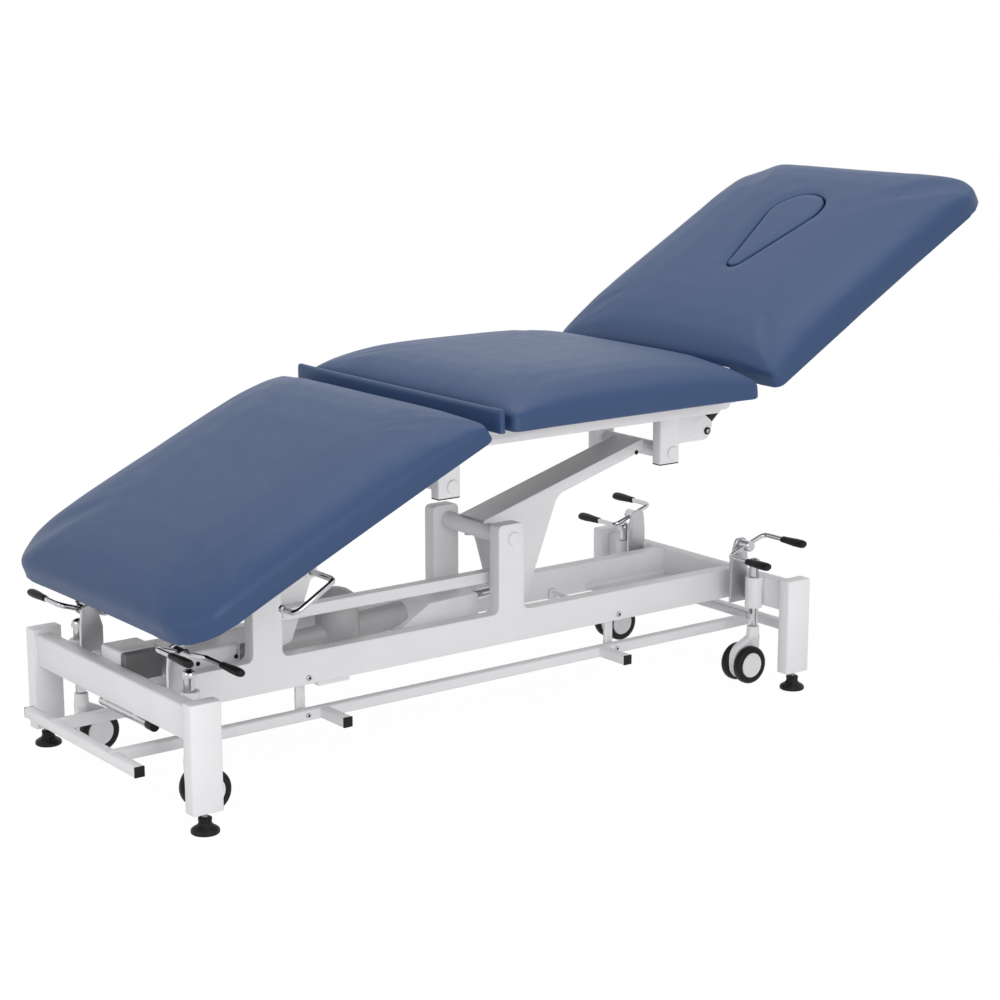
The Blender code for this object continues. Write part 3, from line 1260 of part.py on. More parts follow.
def build_top(top, paint, vinyl):
    """The seat's rails, hangers, cushion and gap strip."""
    for name, side in SIDES.items():
        piece("seat_rail_" + name, seat_rail(side), paint, top)
    piece("hanger_foot", hanger_with_leg_spring_pin(), paint, top)
    piece("hanger_head", hanger_with_back_lug(), paint, top)
    seat = cushion(SEAT_FOOT, SEAT_HEAD, HALF_WIDTH, CUSHION_BOTTOM, INNER_CORNER, INNER_CORNER)
    piece("seat_cushion", seat, vinyl, top)
    piece("gap_strip", gap_strip(), vinyl, top)


def build_spring(name, at, to, y, cylinder, inner, start, top, grey, chrome):
    """A gas spring between two points at rest: the cylinder on its lower eye, the rod inside it."""
    reach = Vector((to[0] - at[0], to[1] - at[1]))
    body = Body(name + "_spring", (at[0], 0, at[1]), top, math.atan2(reach.y, reach.x))
    piece(name + "_spring_cylinder", spring_cylinder(at, y, cylinder, inner), grey, body)
    slide = Body(name + "_spring_rod", (at[0], 0, at[1]), body)
    piece(name + "_spring_rod", spring_rod(at, y, start, reach.length), chrome, slide)


def build_leg_section(top, paint, vinyl, grey, chrome):
    """The leg section, hinged at the seat's foot end and turned down."""
    section = Body("leg_section", (LEG_HINGE_X, 0, LEG_HINGE_Z), top, LEG_DOWN)
    for name, side in SIDES.items():
        piece("leg_rail_" + name, leg_rail(side), paint, section)
    piece("leg_crossbar", crossbar(LEG_SPRING_X, LEG_SPRING_Z, LEG_SPRING_Y), paint, section)
    pad = cushion(LEG_HEAD - LEG_LENGTH, LEG_HEAD, HALF_WIDTH, CUSHION_BOTTOM, OUTER_CORNER, INNER_CORNER)
    piece("leg_cushion", pad, vinyl, section)
    handle = Body("release_handle", (HANDLE_X, 0, HANDLE_Z), section)
    piece("release_handle", release_handle(), paint, handle)
    upper = (TOP_PIVOT_X - ARM_SPACING, TOP_PIVOT_Z + LEG_SPRING_TOP_RISE)
    lower = swung(LEG_SPRING_X, LEG_SPRING_Z, LEG_HINGE_X, LEG_HINGE_Z, LEG_DOWN)
    build_spring("leg", upper, lower, LEG_SPRING_Y, LEG_SPRING_CYLINDER, LEG_SPRING_INNER - 0.02,
                 LEG_SPRING_INNER, top, grey, chrome)


def build_back_section(top, paint, vinyl, grey, chrome):
    """The back section, hinged at the seat's head end and turned up, with its breathing hole."""
    section = Body("back_section", (BACK_HINGE_X, 0, BACK_HINGE_Z), top, BACK_UP)
    for name, side in SIDES.items():
        piece("back_rail_" + name, back_rail(side), paint, section)
    piece("back_crossbar", crossbar(BACK_SPRING_X, BACK_SPRING_Z, BACK_SPRING_Y), paint, section)
    shape = (BACK_FOOT, BACK_FOOT + BACK_LENGTH, HALF_WIDTH, CUSHION_BOTTOM, INNER_CORNER, OUTER_CORNER)
    narrow_x = BACK_FOOT + HOLE_FROM_LOW_END
    low, high = CUSHION_BOTTOM - 0.02, CUSHION_BOTTOM + CUSHION_THICKNESS + 0.05
    hole = teardrop(narrow_x, HOLE_SPACING, HOLE_NARROW, HOLE_WIDE, low, high)
    piece("back_cushion", cut(cushion(*shape), hole), vinyl, section)
    core = teardrop(narrow_x, HOLE_SPACING, HOLE_NARROW - PLUG_SEAM, HOLE_WIDE - PLUG_SEAM, low, high)
    plug = Body("breath_plug", (narrow_x + HOLE_SPACING, 0, CUSHION_BOTTOM), section)
    piece("breath_plug", combine(core, (cushion(*shape),), "INTERSECT"), vinyl, plug)
    upper = swung(BACK_SPRING_X, BACK_SPRING_Z, BACK_HINGE_X, BACK_HINGE_Z, BACK_UP)
    build_spring("back", (BACK_LUG_X, BACK_LUG_Z), upper, BACK_SPRING_Y, BACK_SPRING_CYLINDER,
                 BACK_SPRING_INNER - 0.07, BACK_SPRING_INNER, top, grey, chrome)


def main():
    """Clears the scene and builds the table."""
    for obj in list(bpy.data.objects):
        bpy.data.objects.remove(obj)
    paint = finish("white_paint", (0.82, 0.82, 0.83), 0.35)
    chrome = finish("chrome", (0.75, 0.75, 0.77), 0.12, 1.0)
    rubber = finish("black_rubber", (0.015, 0.015, 0.016), 0.55)
    plastic = finish("white_plastic", (0.80, 0.80, 0.82), 0.40)
    grey = finish("grey_plastic", (0.45, 0.45, 0.46), 0.45)
    vinyl = finish("blue_vinyl", (0.085, 0.133, 0.24), 0.42)
    base = Body("base", (0, 0, 0))
    base.empty.location.x = -ORIGIN_FROM_BASE
    build_base(base, paint, chrome, rubber, plastic, grey)
    build_castors(base, chrome, plastic, rubber)
    build_foot_bar(base, paint)
    build_lift(base, paint, grey, chrome)
    top = Body("top_frame", (TOP_PIVOT_X, 0, TOP_PIVOT_Z), base)
    build_top(top, paint, vinyl)
    build_leg_section(top, paint, vinyl, grey, chrome)
    build_back_section(top, paint, vinyl, grey, chrome)


main()
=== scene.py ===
"""Looks of an electric treatment table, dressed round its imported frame.

Rigid nodes get softened edges or are modelled again in detail at their own places, the cushions are
puffed by a cloth simulation, and a plain white studio lights the whole. Metres, +X towards the head end,
+Y towards the far side, +Z up.
"""

import json
import logging
import math
from dataclasses import dataclass, field
from enum import Enum
from typing import Callable, ClassVar, Iterator, Sequence

import bmesh
import bpy
from mathutils import Matrix, Vector
from mathutils.kdtree import KDTree

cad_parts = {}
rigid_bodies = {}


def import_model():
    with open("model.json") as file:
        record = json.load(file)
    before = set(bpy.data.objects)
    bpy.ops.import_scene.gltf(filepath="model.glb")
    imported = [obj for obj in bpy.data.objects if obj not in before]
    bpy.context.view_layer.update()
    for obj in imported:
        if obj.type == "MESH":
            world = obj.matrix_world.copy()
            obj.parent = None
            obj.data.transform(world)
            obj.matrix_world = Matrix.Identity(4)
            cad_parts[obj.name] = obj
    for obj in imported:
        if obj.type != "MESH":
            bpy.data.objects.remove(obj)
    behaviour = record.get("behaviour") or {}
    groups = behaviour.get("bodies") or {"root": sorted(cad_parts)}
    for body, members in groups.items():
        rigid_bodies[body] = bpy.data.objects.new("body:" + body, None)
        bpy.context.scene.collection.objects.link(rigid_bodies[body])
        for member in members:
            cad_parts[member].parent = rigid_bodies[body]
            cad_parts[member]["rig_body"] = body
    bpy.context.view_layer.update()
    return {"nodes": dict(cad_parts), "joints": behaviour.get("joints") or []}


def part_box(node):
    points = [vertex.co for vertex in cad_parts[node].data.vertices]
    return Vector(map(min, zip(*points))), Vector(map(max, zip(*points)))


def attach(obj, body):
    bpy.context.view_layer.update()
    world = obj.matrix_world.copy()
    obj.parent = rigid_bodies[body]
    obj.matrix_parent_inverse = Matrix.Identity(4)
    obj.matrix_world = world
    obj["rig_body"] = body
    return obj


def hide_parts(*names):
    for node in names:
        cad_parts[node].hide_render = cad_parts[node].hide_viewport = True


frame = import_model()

LOG = logging.getLogger("treatment_table")
FLAT_ANGLE = math.radians(0.6)  # below it, two faces count as one
SMOOTH_ANGLE = math.radians(45)  # below it, an edge shades smooth
SHARP_ANGLE = math.radians(50)  # above it, an edge is rounded
SINK = 0.0005  # how far a small part reaches into the face that carries it

Solid = bpy.types.Object
Socket = bpy.types.NodeSocket
Colour = tuple[float, float, float]
Point = tuple[float, float, float]
Profile = Sequence[tuple[float, float]]
FaceTest = Callable[[Vector, Vector], bool]


class Place(Enum):
    """A named place on the table."""

    @property
    def tag(self) -> str:
        """Returns the place's part of a piece's name."""
        return self.name.lower()


class Side(Place):
    """The two long sides of the table."""

    NEAR = -1
    FAR = 1


class End(Place):
    """The two short ends of the table."""

    FOOT = -1
    HEAD = 1


class Axis(Enum):
    """The direction that a turned piece's height runs in, as the turn that brings +Z there."""

    X = Matrix.Rotation(math.pi / 2, 4, "Y")
    Y = Matrix.Rotation(-math.pi / 2, 4, "X")
    Z = Matrix.Identity(4)


class Slot(Enum):
    """The record's material slots."""

    PAINT = "white_paint"
    CHROME = "chrome"
    RUBBER = "black_rubber"
    WHITE_PLASTIC = "white_plastic"
    GREY_PLASTIC = "grey_plastic"
    VINYL = "blue_vinyl"


# Finishes


class Graph:
    """The nodes of one material, with short ways to add and join them."""

    def __init__(self, name: str) -> None:
        """Starts a material that reads Object coordinates.

        Args:
            name: The material's name.
        """
        self.material = bpy.data.materials.new(name)
        self.material.use_nodes = True
        self.tree = self.material.node_tree
        self.shader = self.tree.nodes["Principled BSDF"]
        self.place = self.add("ShaderNodeTexCoord").outputs["Object"]

    def add(self, kind: str, **values: object) -> bpy.types.Node:
        """Adds a node.

        Args:
            kind: The node's type.
            values: Its properties, such as an operation.

        Returns:
            The new node.
        """
        node = self.tree.nodes.new(kind)
        for key, value in values.items():
            setattr(node, key, value)
        return node

    def join(self, source: Socket, target: Socket) -> None:
        """Links one socket to another."""
        self.tree.links.new(source, target)

    def noise(self, scale: float, detail: float = 3.0, place: Socket | None = None) -> Socket:
        """Adds a noise pattern.

        Args:
            scale: Waves for each metre.
            detail: How many finer layers it has.
            place: Where it is read, or None for Object coordinates.

        Returns:
            Its value, about 0 to 1.
        """
        node = self.add("ShaderNodeTexNoise")
        node.inputs["Scale"].default_value = scale
        node.inputs["Detail"].default_value = detail
        self.join(place or self.place, node.inputs["Vector"])
        return node.outputs["Fac"]

    def cells(self, scale: float) -> Socket:
        """Adds the cell pattern of a leather grain and returns its distance value."""
        node = self.add("ShaderNodeTexVoronoi", feature="DISTANCE_TO_EDGE")
        node.inputs["Scale"].default_value = scale
        self.join(self.place, node.inputs["Vector"])
        return node.outputs["Distance"]

    def spread(self, value: Socket, start: float, end: float, low: float, high: float) -> Socket:
        """Maps the span start to end of a value to the span low to high.

        Args:
            value: What is mapped.
            start: The value that gives low.
            end: The value that gives high.
            low: One end of the result.
            high: The other end of the result.

        Returns:
            The mapped value.
        """
        node = self.add("ShaderNodeMapRange")
        for name, number in zip(("From Min", "From Max", "To Min", "To Max"), (start, end, low, high)):
            node.inputs[name].default_value = number
        self.join(value, node.inputs["Value"])
        return node.outputs["Result"]

    def blend(self, share: Socket, first: Colour, second: Colour) -> Socket:
        """Mixes two colours.

        Args:
            share: How much of the second colour shows, 0 to 1.
            first: A colour.
            second: Another colour.

        Returns:
            The mixed colour.
        """
        node = self.add("ShaderNodeMix", data_type="RGBA")
        node.inputs[6].default_value = (*first, 1)
        node.inputs[7].default_value = (*second, 1)
        self.join(share, node.inputs[0])
        return node.outputs[2]

    def bump(self, height: Socket, depth: float, strength: float) -> None:
        """Raises the surface by a pattern.

        Args:
            height: The pattern.
            depth: Its height in metres.
            strength: How much of it shows.
        """
        node = self.add("ShaderNodeBump")
        node.inputs["Distance"].default_value = depth
        node.inputs["Strength"].default_value = strength
        self.join(height, node.inputs["Height"])
        self.join(node.outputs["Normal"], self.shader.inputs["Normal"])

    def set(self, **values: float) -> None:
        """Sets plain numbers on the shader, with spaces in a socket's name written as underscores."""
        for key, value in values.items():
            self.shader.inputs[key.replace("_", " ")].default_value = value


@dataclass(frozen=True)
class Finish:
    """A surface finish: two close colours in soft patches, a roughness that varies, and a fine relief."""

    name: str
    colour: Colour
    second: Colour
    roughness: tuple[float, float]
    patch_scale: float = 9.0
    grain_scale: float = 900.0
    grain_depth: float = 0.00006
    grain_strength: float = 0.25
    metallic: float = 0.0
    gloss: float = 0.5

    def material(self) -> bpy.types.Material:
        """Returns this finish's material, made on first use."""
        return bpy.data.materials.get(self.name) or self.make()

    def make(self) -> bpy.types.Material:
        """Builds the material.

        Returns:
            The new material.
        """
        graph = Graph(self.name)
        graph.set(Metallic=self.metallic, Specular_IOR_Level=self.gloss)
        patches = graph.noise(self.patch_scale, 4.0)
        share = graph.spread(patches, 0.3, 0.7, 0.0, 1.0)
        graph.join(graph.blend(share, self.colour, self.second), graph.shader.inputs["Base Color"])
        smear = graph.noise(self.patch_scale * 7, 5.0)
        graph.join(graph.spread(smear, 0.3, 0.7, *self.roughness), graph.shader.inputs["Roughness"])
        self.relief(graph)
        return graph.material

    def relief(self, graph: Graph) -> None:
        """Adds the fine orange-peel relief of a coat or a moulding."""
        graph.bump(graph.noise(self.grain_scale, 2.0), self.grain_depth, self.grain_strength)


@dataclass(frozen=True)
class Upholstery(Finish):
    """Coated upholstery vinyl with a pebbled grain, and black cloth where a pad's underside is marked."""

    cloth: Colour = (0.012, 0.012, 0.014)
    cloth_roughness: float = 0.92
    hem: float = 0.022
    hem_blend: float = 0.0008
    mark: ClassVar[str] = "underside"

    def relief(self, graph: Graph) -> None:
        """Adds the pebbled grain of the coating, and the cloth."""
        pebble = graph.spread(graph.cells(self.grain_scale), 0.0, 0.35, 0.0, 1.0)
        graph.bump(pebble, self.grain_depth, self.grain_strength)
        self.underside(graph)

    def underside(self, graph: Graph) -> None:
        """Joins the cloth to the vinyl by the underside mark."""
        mark = graph.add("ShaderNodeAttribute", attribute_name=self.mark).outputs["Fac"]
        under = graph.spread(mark, self.hem, self.hem + self.hem_blend, 0.0, 1.0)
        for name, value in (("Base Color", (*self.cloth, 1)), ("Roughness", self.cloth_roughness)):
            target = graph.shader.inputs[name]
            kind, first, second, result = ("RGBA", 6, 7, 2) if name == "Base Color" else ("FLOAT", 2, 3, 0)
            mix = graph.add("ShaderNodeMix", data_type=kind)
            graph.join(under, mix.inputs[0])
            graph.join(target.links[0].from_socket, mix.inputs[first])
            mix.inputs[second].default_value = value
            graph.join(mix.outputs[result], target)


@dataclass(frozen=True)
class Metal(Finish):
    """Bare or plated metal with fine drawn lines."""

    metallic: float = 1.0
    lines: tuple[float, float, float] = (60.0, 60.0, 900.0)

    def relief(self, graph: Graph) -> None:
        """Adds the drawn lines."""
        mapping = graph.add("ShaderNodeMapping")
        mapping.inputs["Scale"].default_value = self.lines
        graph.join(graph.place, mapping.inputs["Vector"])
        graph.bump(graph.noise(1.0, 2.0, mapping.outputs["Vector"]), self.grain_depth, self.grain_strength)


PAINT = Finish("powder_coat", (0.86, 0.855, 0.875), (0.83, 0.825, 0.845), (0.36, 0.46))
VINYL = Upholstery("upholstery_vinyl", (0.032, 0.069, 0.166), (0.030, 0.066, 0.160),
                   (0.43, 0.48), patch_scale=4.0, grain_scale=700.0, grain_depth=0.00009, gloss=0.36)
CHROME = Metal("chrome_plate", (0.56, 0.56, 0.58), (0.51, 0.51, 0.53), (0.06, 0.12),
               grain_depth=0.00001, grain_strength=0.08)
ZINC = Metal("zinc_plate", (0.50, 0.505, 0.52), (0.48, 0.485, 0.50), (0.36, 0.42),
             grain_depth=0.00001, grain_strength=0.08)
RUBBER = Finish("black_rubber_moulding", (0.007, 0.007, 0.008), (0.010, 0.010, 0.011),
                (0.40, 0.54), patch_scale=40.0, grain_scale=1200.0, gloss=0.22)
SATIN_BLACK = Finish("satin_black_enamel", (0.009, 0.009, 0.010), (0.013, 0.013, 0.014),
                     (0.28, 0.40), patch_scale=20.0, gloss=0.28)
WHITE_PLASTIC = Finish("white_moulding", (0.88, 0.875, 0.90), (0.85, 0.845, 0.87),
                       (0.34, 0.44), patch_scale=30.0)
GREY_PLASTIC = Finish("grey_moulding", (0.46, 0.455, 0.465), (0.42, 0.415, 0.425),
                      (0.40, 0.50), patch_scale=24.0)
DARK_GREY = Finish("dark_grey_moulding", (0.17, 0.17, 0.175), (0.15, 0.15, 0.155),
                   (0.42, 0.52), patch_scale=24.0)


# Mesh work


class Bench:
    """Mesh work with the hand tools: primitives, edit-mode tools and applied modifiers."""

    @staticmethod
    def clear() -> None:
        """Leaves edit mode and deselects everything."""
        if bpy.context.object and bpy.context.object.mode != "OBJECT":
            bpy.ops.object.mode_set(mode="OBJECT")
        bpy.ops.object.select_all(action="DESELECT")

    @staticmethod
    def pick(obj: Solid) -> Solid:
        """Makes an object the only selected one, and active."""
        Bench.clear()
        obj.select_set(True)
        bpy.context.view_layer.objects.active = obj
        return obj

    @staticmethod
    def edit(obj: Solid) -> None:
        """Enters edit mode on an object with everything in it selected."""
        Bench.pick(obj)
        bpy.ops.object.mode_set(mode="EDIT")
        bpy.ops.mesh.select_all(action="SELECT")

    @staticmethod
    def done(obj: Solid, angle: float = 40.0) -> Solid:
        """Closes an edit: normals outwards, smooth below an angle, place kept in the mesh.

        Args:
            obj: The piece in work.
            angle: Edges sharper than this many degrees stay crisp.

        Returns:
            The same object.
        """
        Bench.edit(obj)
        bpy.ops.mesh.normals_make_consistent(inside=False)
        Bench.pick(obj)
        bpy.ops.object.transform_apply(location=True, rotation=True, scale=True)
        bpy.ops.object.shade_smooth_by_angle(angle=math.radians(angle))
        return obj

    @staticmethod
    def apply(obj: Solid, kind: str, **values: object) -> None:
        """Adds a modifier and applies it.

        Args:
            obj: The piece.
            kind: The modifier's type.
            values: Its settings.
        """
        Bench.pick(obj)
        modifier = obj.modifiers.new(kind.title(), kind)
        for key, value in values.items():
            setattr(modifier, key, value)
        bpy.ops.object.modifier_apply(modifier=modifier.name)

    @staticmethod
    def lathe(profile: Profile, at: Point = (0, 0, 0), axis: Axis = Axis.Z, sides: int = 40) -> Solid:
        """Turns a profile: a filled circle, extruded and scaled from ring to ring.

        Args:
            profile: Radius and height of each ring, none of them of no radius.
            at: Where the profile's zero stands.
            axis: The direction that its height runs in.
            sides: Facets round it.

        Returns:
            The closed piece.
        """
        Bench.clear()
        radius, height = profile[0]
        bpy.ops.mesh.primitive_circle_add(vertices=sides, radius=radius, fill_type="NGON",
                                          location=(0, 0, height))
        obj = bpy.context.object
        Bench.edit(obj)
        for next_radius, next_height in profile[1:]:
            bpy.ops.mesh.extrude_region_move(TRANSFORM_OT_translate={"value": (0, 0, next_height - height)})
            grow = next_radius / radius
            bpy.ops.transform.resize(value=(grow, grow, 1), center_override=(0, 0, next_height))
            radius, height = next_radius, next_height
        Bench.done(obj)
        obj.data.transform(Matrix.Translation(at) @ axis.value)
        return obj

    @staticmethod
    def block(low: Point, high: Point, edge: float, segments: int = 3) -> Solid:
        """A box with rounded edges.

        Args:
            low: Its lowest corner.
            high: Its highest corner.
            edge: The edges' radius.
            segments: Steps in each rounding.

        Returns:
            The piece.
        """
        Bench.clear()
        low, high = Vector(low), Vector(high)
        bpy.ops.mesh.primitive_cube_add(size=1, location=(low + high) / 2, scale=high - low)
        obj = bpy.context.object
        bpy.ops.object.transform_apply(location=True, scale=True)
        Bench.edit(obj)
        bpy.ops.mesh.bevel(offset=edge, segments=segments, affect="EDGES")
        return Bench.done(obj)

    @staticmethod
    def rod(points: Sequence[Point], radius: float, bend: float = 0.0, steps: int = 7) -> Solid:
        """A round rod bent along a path.

        Args:
            points: The corners of the path.
            radius: The rod's radius.
            bend: How far from a corner its bend starts.
            steps: Points in each bend.

        Returns:
            The piece.
        """
        corners = [Vector(p) for p in points]
        path = [corners[0]]
        for before, corner, after in zip(corners, corners[1:], corners[2:]):
            start = corner + (before - corner).normalized() * bend
            end = corner + (after - corner).normalized() * bend
            for step in range(steps):
                share = step / (steps - 1)
                path.append(start.lerp(corner, share).lerp(corner.lerp(end, share), share))
        path.append(corners[-1])
        curve = bpy.data.curves.new("rod", "CURVE")
        curve.dimensions = "3D"
        curve.bevel_depth, curve.bevel_resolution, curve.use_fill_caps = radius, 5, True
        spline = curve.splines.new("POLY")
        spline.points.add(len(path) - 1)
        for point, spot in zip(spline.points, path):
            point.co = (*spot, 1)
        obj = bpy.data.objects.new("rod", curve)
        bpy.context.scene.collection.objects.link(obj)
        Bench.pick(obj)
        bpy.ops.object.convert(target="MESH")
        obj = bpy.context.object
        Bench.edit(obj)
        bpy.ops.mesh.remove_doubles(threshold=1e-6)
        return Bench.done(obj)

    @staticmethod
    def node_copy(node: str) -> Solid:
        """Copies a node's mesh into a new object and merges its loose triangles.

        Args:
            node: The node's name.

        Returns:
            The copy.
        """
        obj = bpy.data.objects.new(node + "_copy", frame["nodes"][node].data.copy())
        bpy.context.scene.collection.objects.link(obj)
        Bench.edit(obj)
        bpy.ops.mesh.remove_doubles(threshold=1e-5)
        Bench.pick(obj)
        return obj

    @staticmethod
    def softened(node: str, edge: float = 0.0010) -> Solid:
        """Copies a rigid node and rounds its sharp edges.

        Args:
            node: The node's name.
            edge: Radius of the rounding.

        Returns:
            The copy.
        """
        obj = Bench.node_copy(node)
        Bench.edit(obj)
        bpy.ops.mesh.dissolve_limited(angle_limit=FLAT_ANGLE)
        Bench.pick(obj)
        Bench.apply(obj, "BEVEL", width=edge, segments=2, limit_method="ANGLE",
                    angle_limit=SHARP_ANGLE, use_clamp_overlap=False)
        bpy.ops.object.shade_smooth_by_angle(angle=SMOOTH_ANGLE)
        return obj

    @staticmethod
    def join(first: Solid, *others: Solid) -> Solid:
        """Joins objects into the first one and returns it."""
        Bench.pick(first)
        for other in others:
            other.select_set(True)
        bpy.ops.object.join()
        return first

    @staticmethod
    def twin(obj: Solid, place: Matrix) -> Solid:
        """Copies a piece, with its own mesh, and puts the copy in its place.

        Args:
            obj: The model piece.
            place: Where the copy goes, with any mirroring.

        Returns:
            The copy.
        """
        copy = bpy.data.objects.new(obj.name, obj.data.copy())
        bpy.context.scene.collection.objects.link(copy)
        copy.data.transform(place)
        if place.determinant() < 0:
            Bench.edit(copy)
            bpy.ops.mesh.flip_normals()
            Bench.pick(copy)
        return copy

    @staticmethod
    def paint(obj: Solid, finish: Finish, test: FaceTest | None = None) -> Solid:
        """Gives faces a finish.

        Args:
            obj: The piece.
            finish: The finish.
            test: Picks faces by their centre and normal; None paints the whole piece afresh.

        Returns:
            The same object.
        """
        if test is None:
            obj.data.materials.clear()
            obj.data.materials.append(finish.material())
            return obj
        obj.data.materials.append(finish.material())
        index = len(obj.data.materials) - 1
        for face in obj.data.polygons:
            if test(face.center, face.normal):
                face.material_index = index
        return obj

    @staticmethod
    def deliver(obj: Solid, name: str, body: str, slot: Slot, *nodes: str) -> Solid:
        """Hands a finished piece over to the frame.

        Args:
            obj: The piece, in its place and painted.
            name: Its name.
            body: The body that it rides on.
            slot: The record's slot for its main finish; not used.
            nodes: The nodes that it stands for.

        Returns:
            The same object.
        """
        obj.name = obj.data.name = name
        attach(obj, body)
        if nodes:
            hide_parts(*nodes)
        LOG.info("%s rides on %s, %d faces", name, body, len(obj.data.polygons))
        return obj

    @staticmethod
    def scrap(obj: Solid) -> None:
        """Removes a model piece that only its copies were needed of."""
        bpy.data.objects.remove(obj)


def body_of(node: str) -> str:
    """Returns the name of the body that a node rides on."""
    return frame["nodes"][node]["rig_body"]


def middle(node: str) -> Vector:
    """Returns the middle of a node's box."""
    low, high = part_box(node)
    return (low + high) / 2


def base_middle() -> float:
    """Returns where the middle of the base stands along X."""
    return (middle("leg_near_foot").x + middle("leg_near_head").x) / 2


def joint(name: str) -> dict:
    """Returns the record's entry of a joint."""
    return next(j for j in frame["joints"] if j["name"] == name)


def pivot(name: str) -> Vector:
    """Returns the place of a joint's axis at rest."""
    return Vector(joint(name)["pos_m"])


def mirror(side: Side) -> Matrix:
    """Returns the mirroring to the far side, or none for the near side."""
    return Matrix.Diagonal((1, -side.value, 1, 1))


def corners() -> Iterator[tuple[Side, End, str]]:
    """Yields the side, the end and the name tag of each of the table's four corners."""
    for end in End:
        for side in Side:
            yield side, end, f"{side.tag}_{end.tag}"


# Sub-assemblies


@dataclass
class Screws:
    """Recessed pan-head screws, modelled once and copied to where they hold something."""

    radius: float = 0.0058
    height: float = 0.0030
    socket: float = 0.0026
    model: Solid | None = None

    def build(self) -> Solid:
        """Models one screw head that stands on +Z, with a round socket painted black as painted shade in its
        recess.

        Returns:
            The model.
        """
        r, h = self.radius, self.height
        rings = [(r, 0), (r, h * 0.45), (r * 0.9, h * 0.8), (r * 0.7, h), (self.socket, h)]
        rings += [(self.socket * 0.96, h * 0.35), (self.socket * 0.1, h * 0.25)]
        self.model = Bench.paint(Bench.lathe(rings, sides=24), ZINC)
        # Painted shade: the socket's recess is painted black rubber, standing in for the shade inside it.
        return Bench.paint(self.model, RUBBER, lambda c, n: math.hypot(c.x, c.y) < self.socket)

    def put(self, name: str, body: str, at: Point, facing: Vector, grow: float = 1.0) -> Solid:
        """Copies the screw to a face.

        Args:
            name: The copy's name.
            body: The body that it rides on.
            at: Where it stands on the face.
            facing: The face's normal.
            grow: Its size against the model.

        Returns:
            The copy.
        """
        model = self.model or self.build()
        turn = Vector((0, 0, 1)).rotation_difference(facing).to_matrix().to_4x4()
        copy = Bench.twin(model, Matrix.Translation(at) @ turn @ Matrix.Scale(grow, 4))
        return Bench.deliver(copy, name, body, Slot.CHROME)


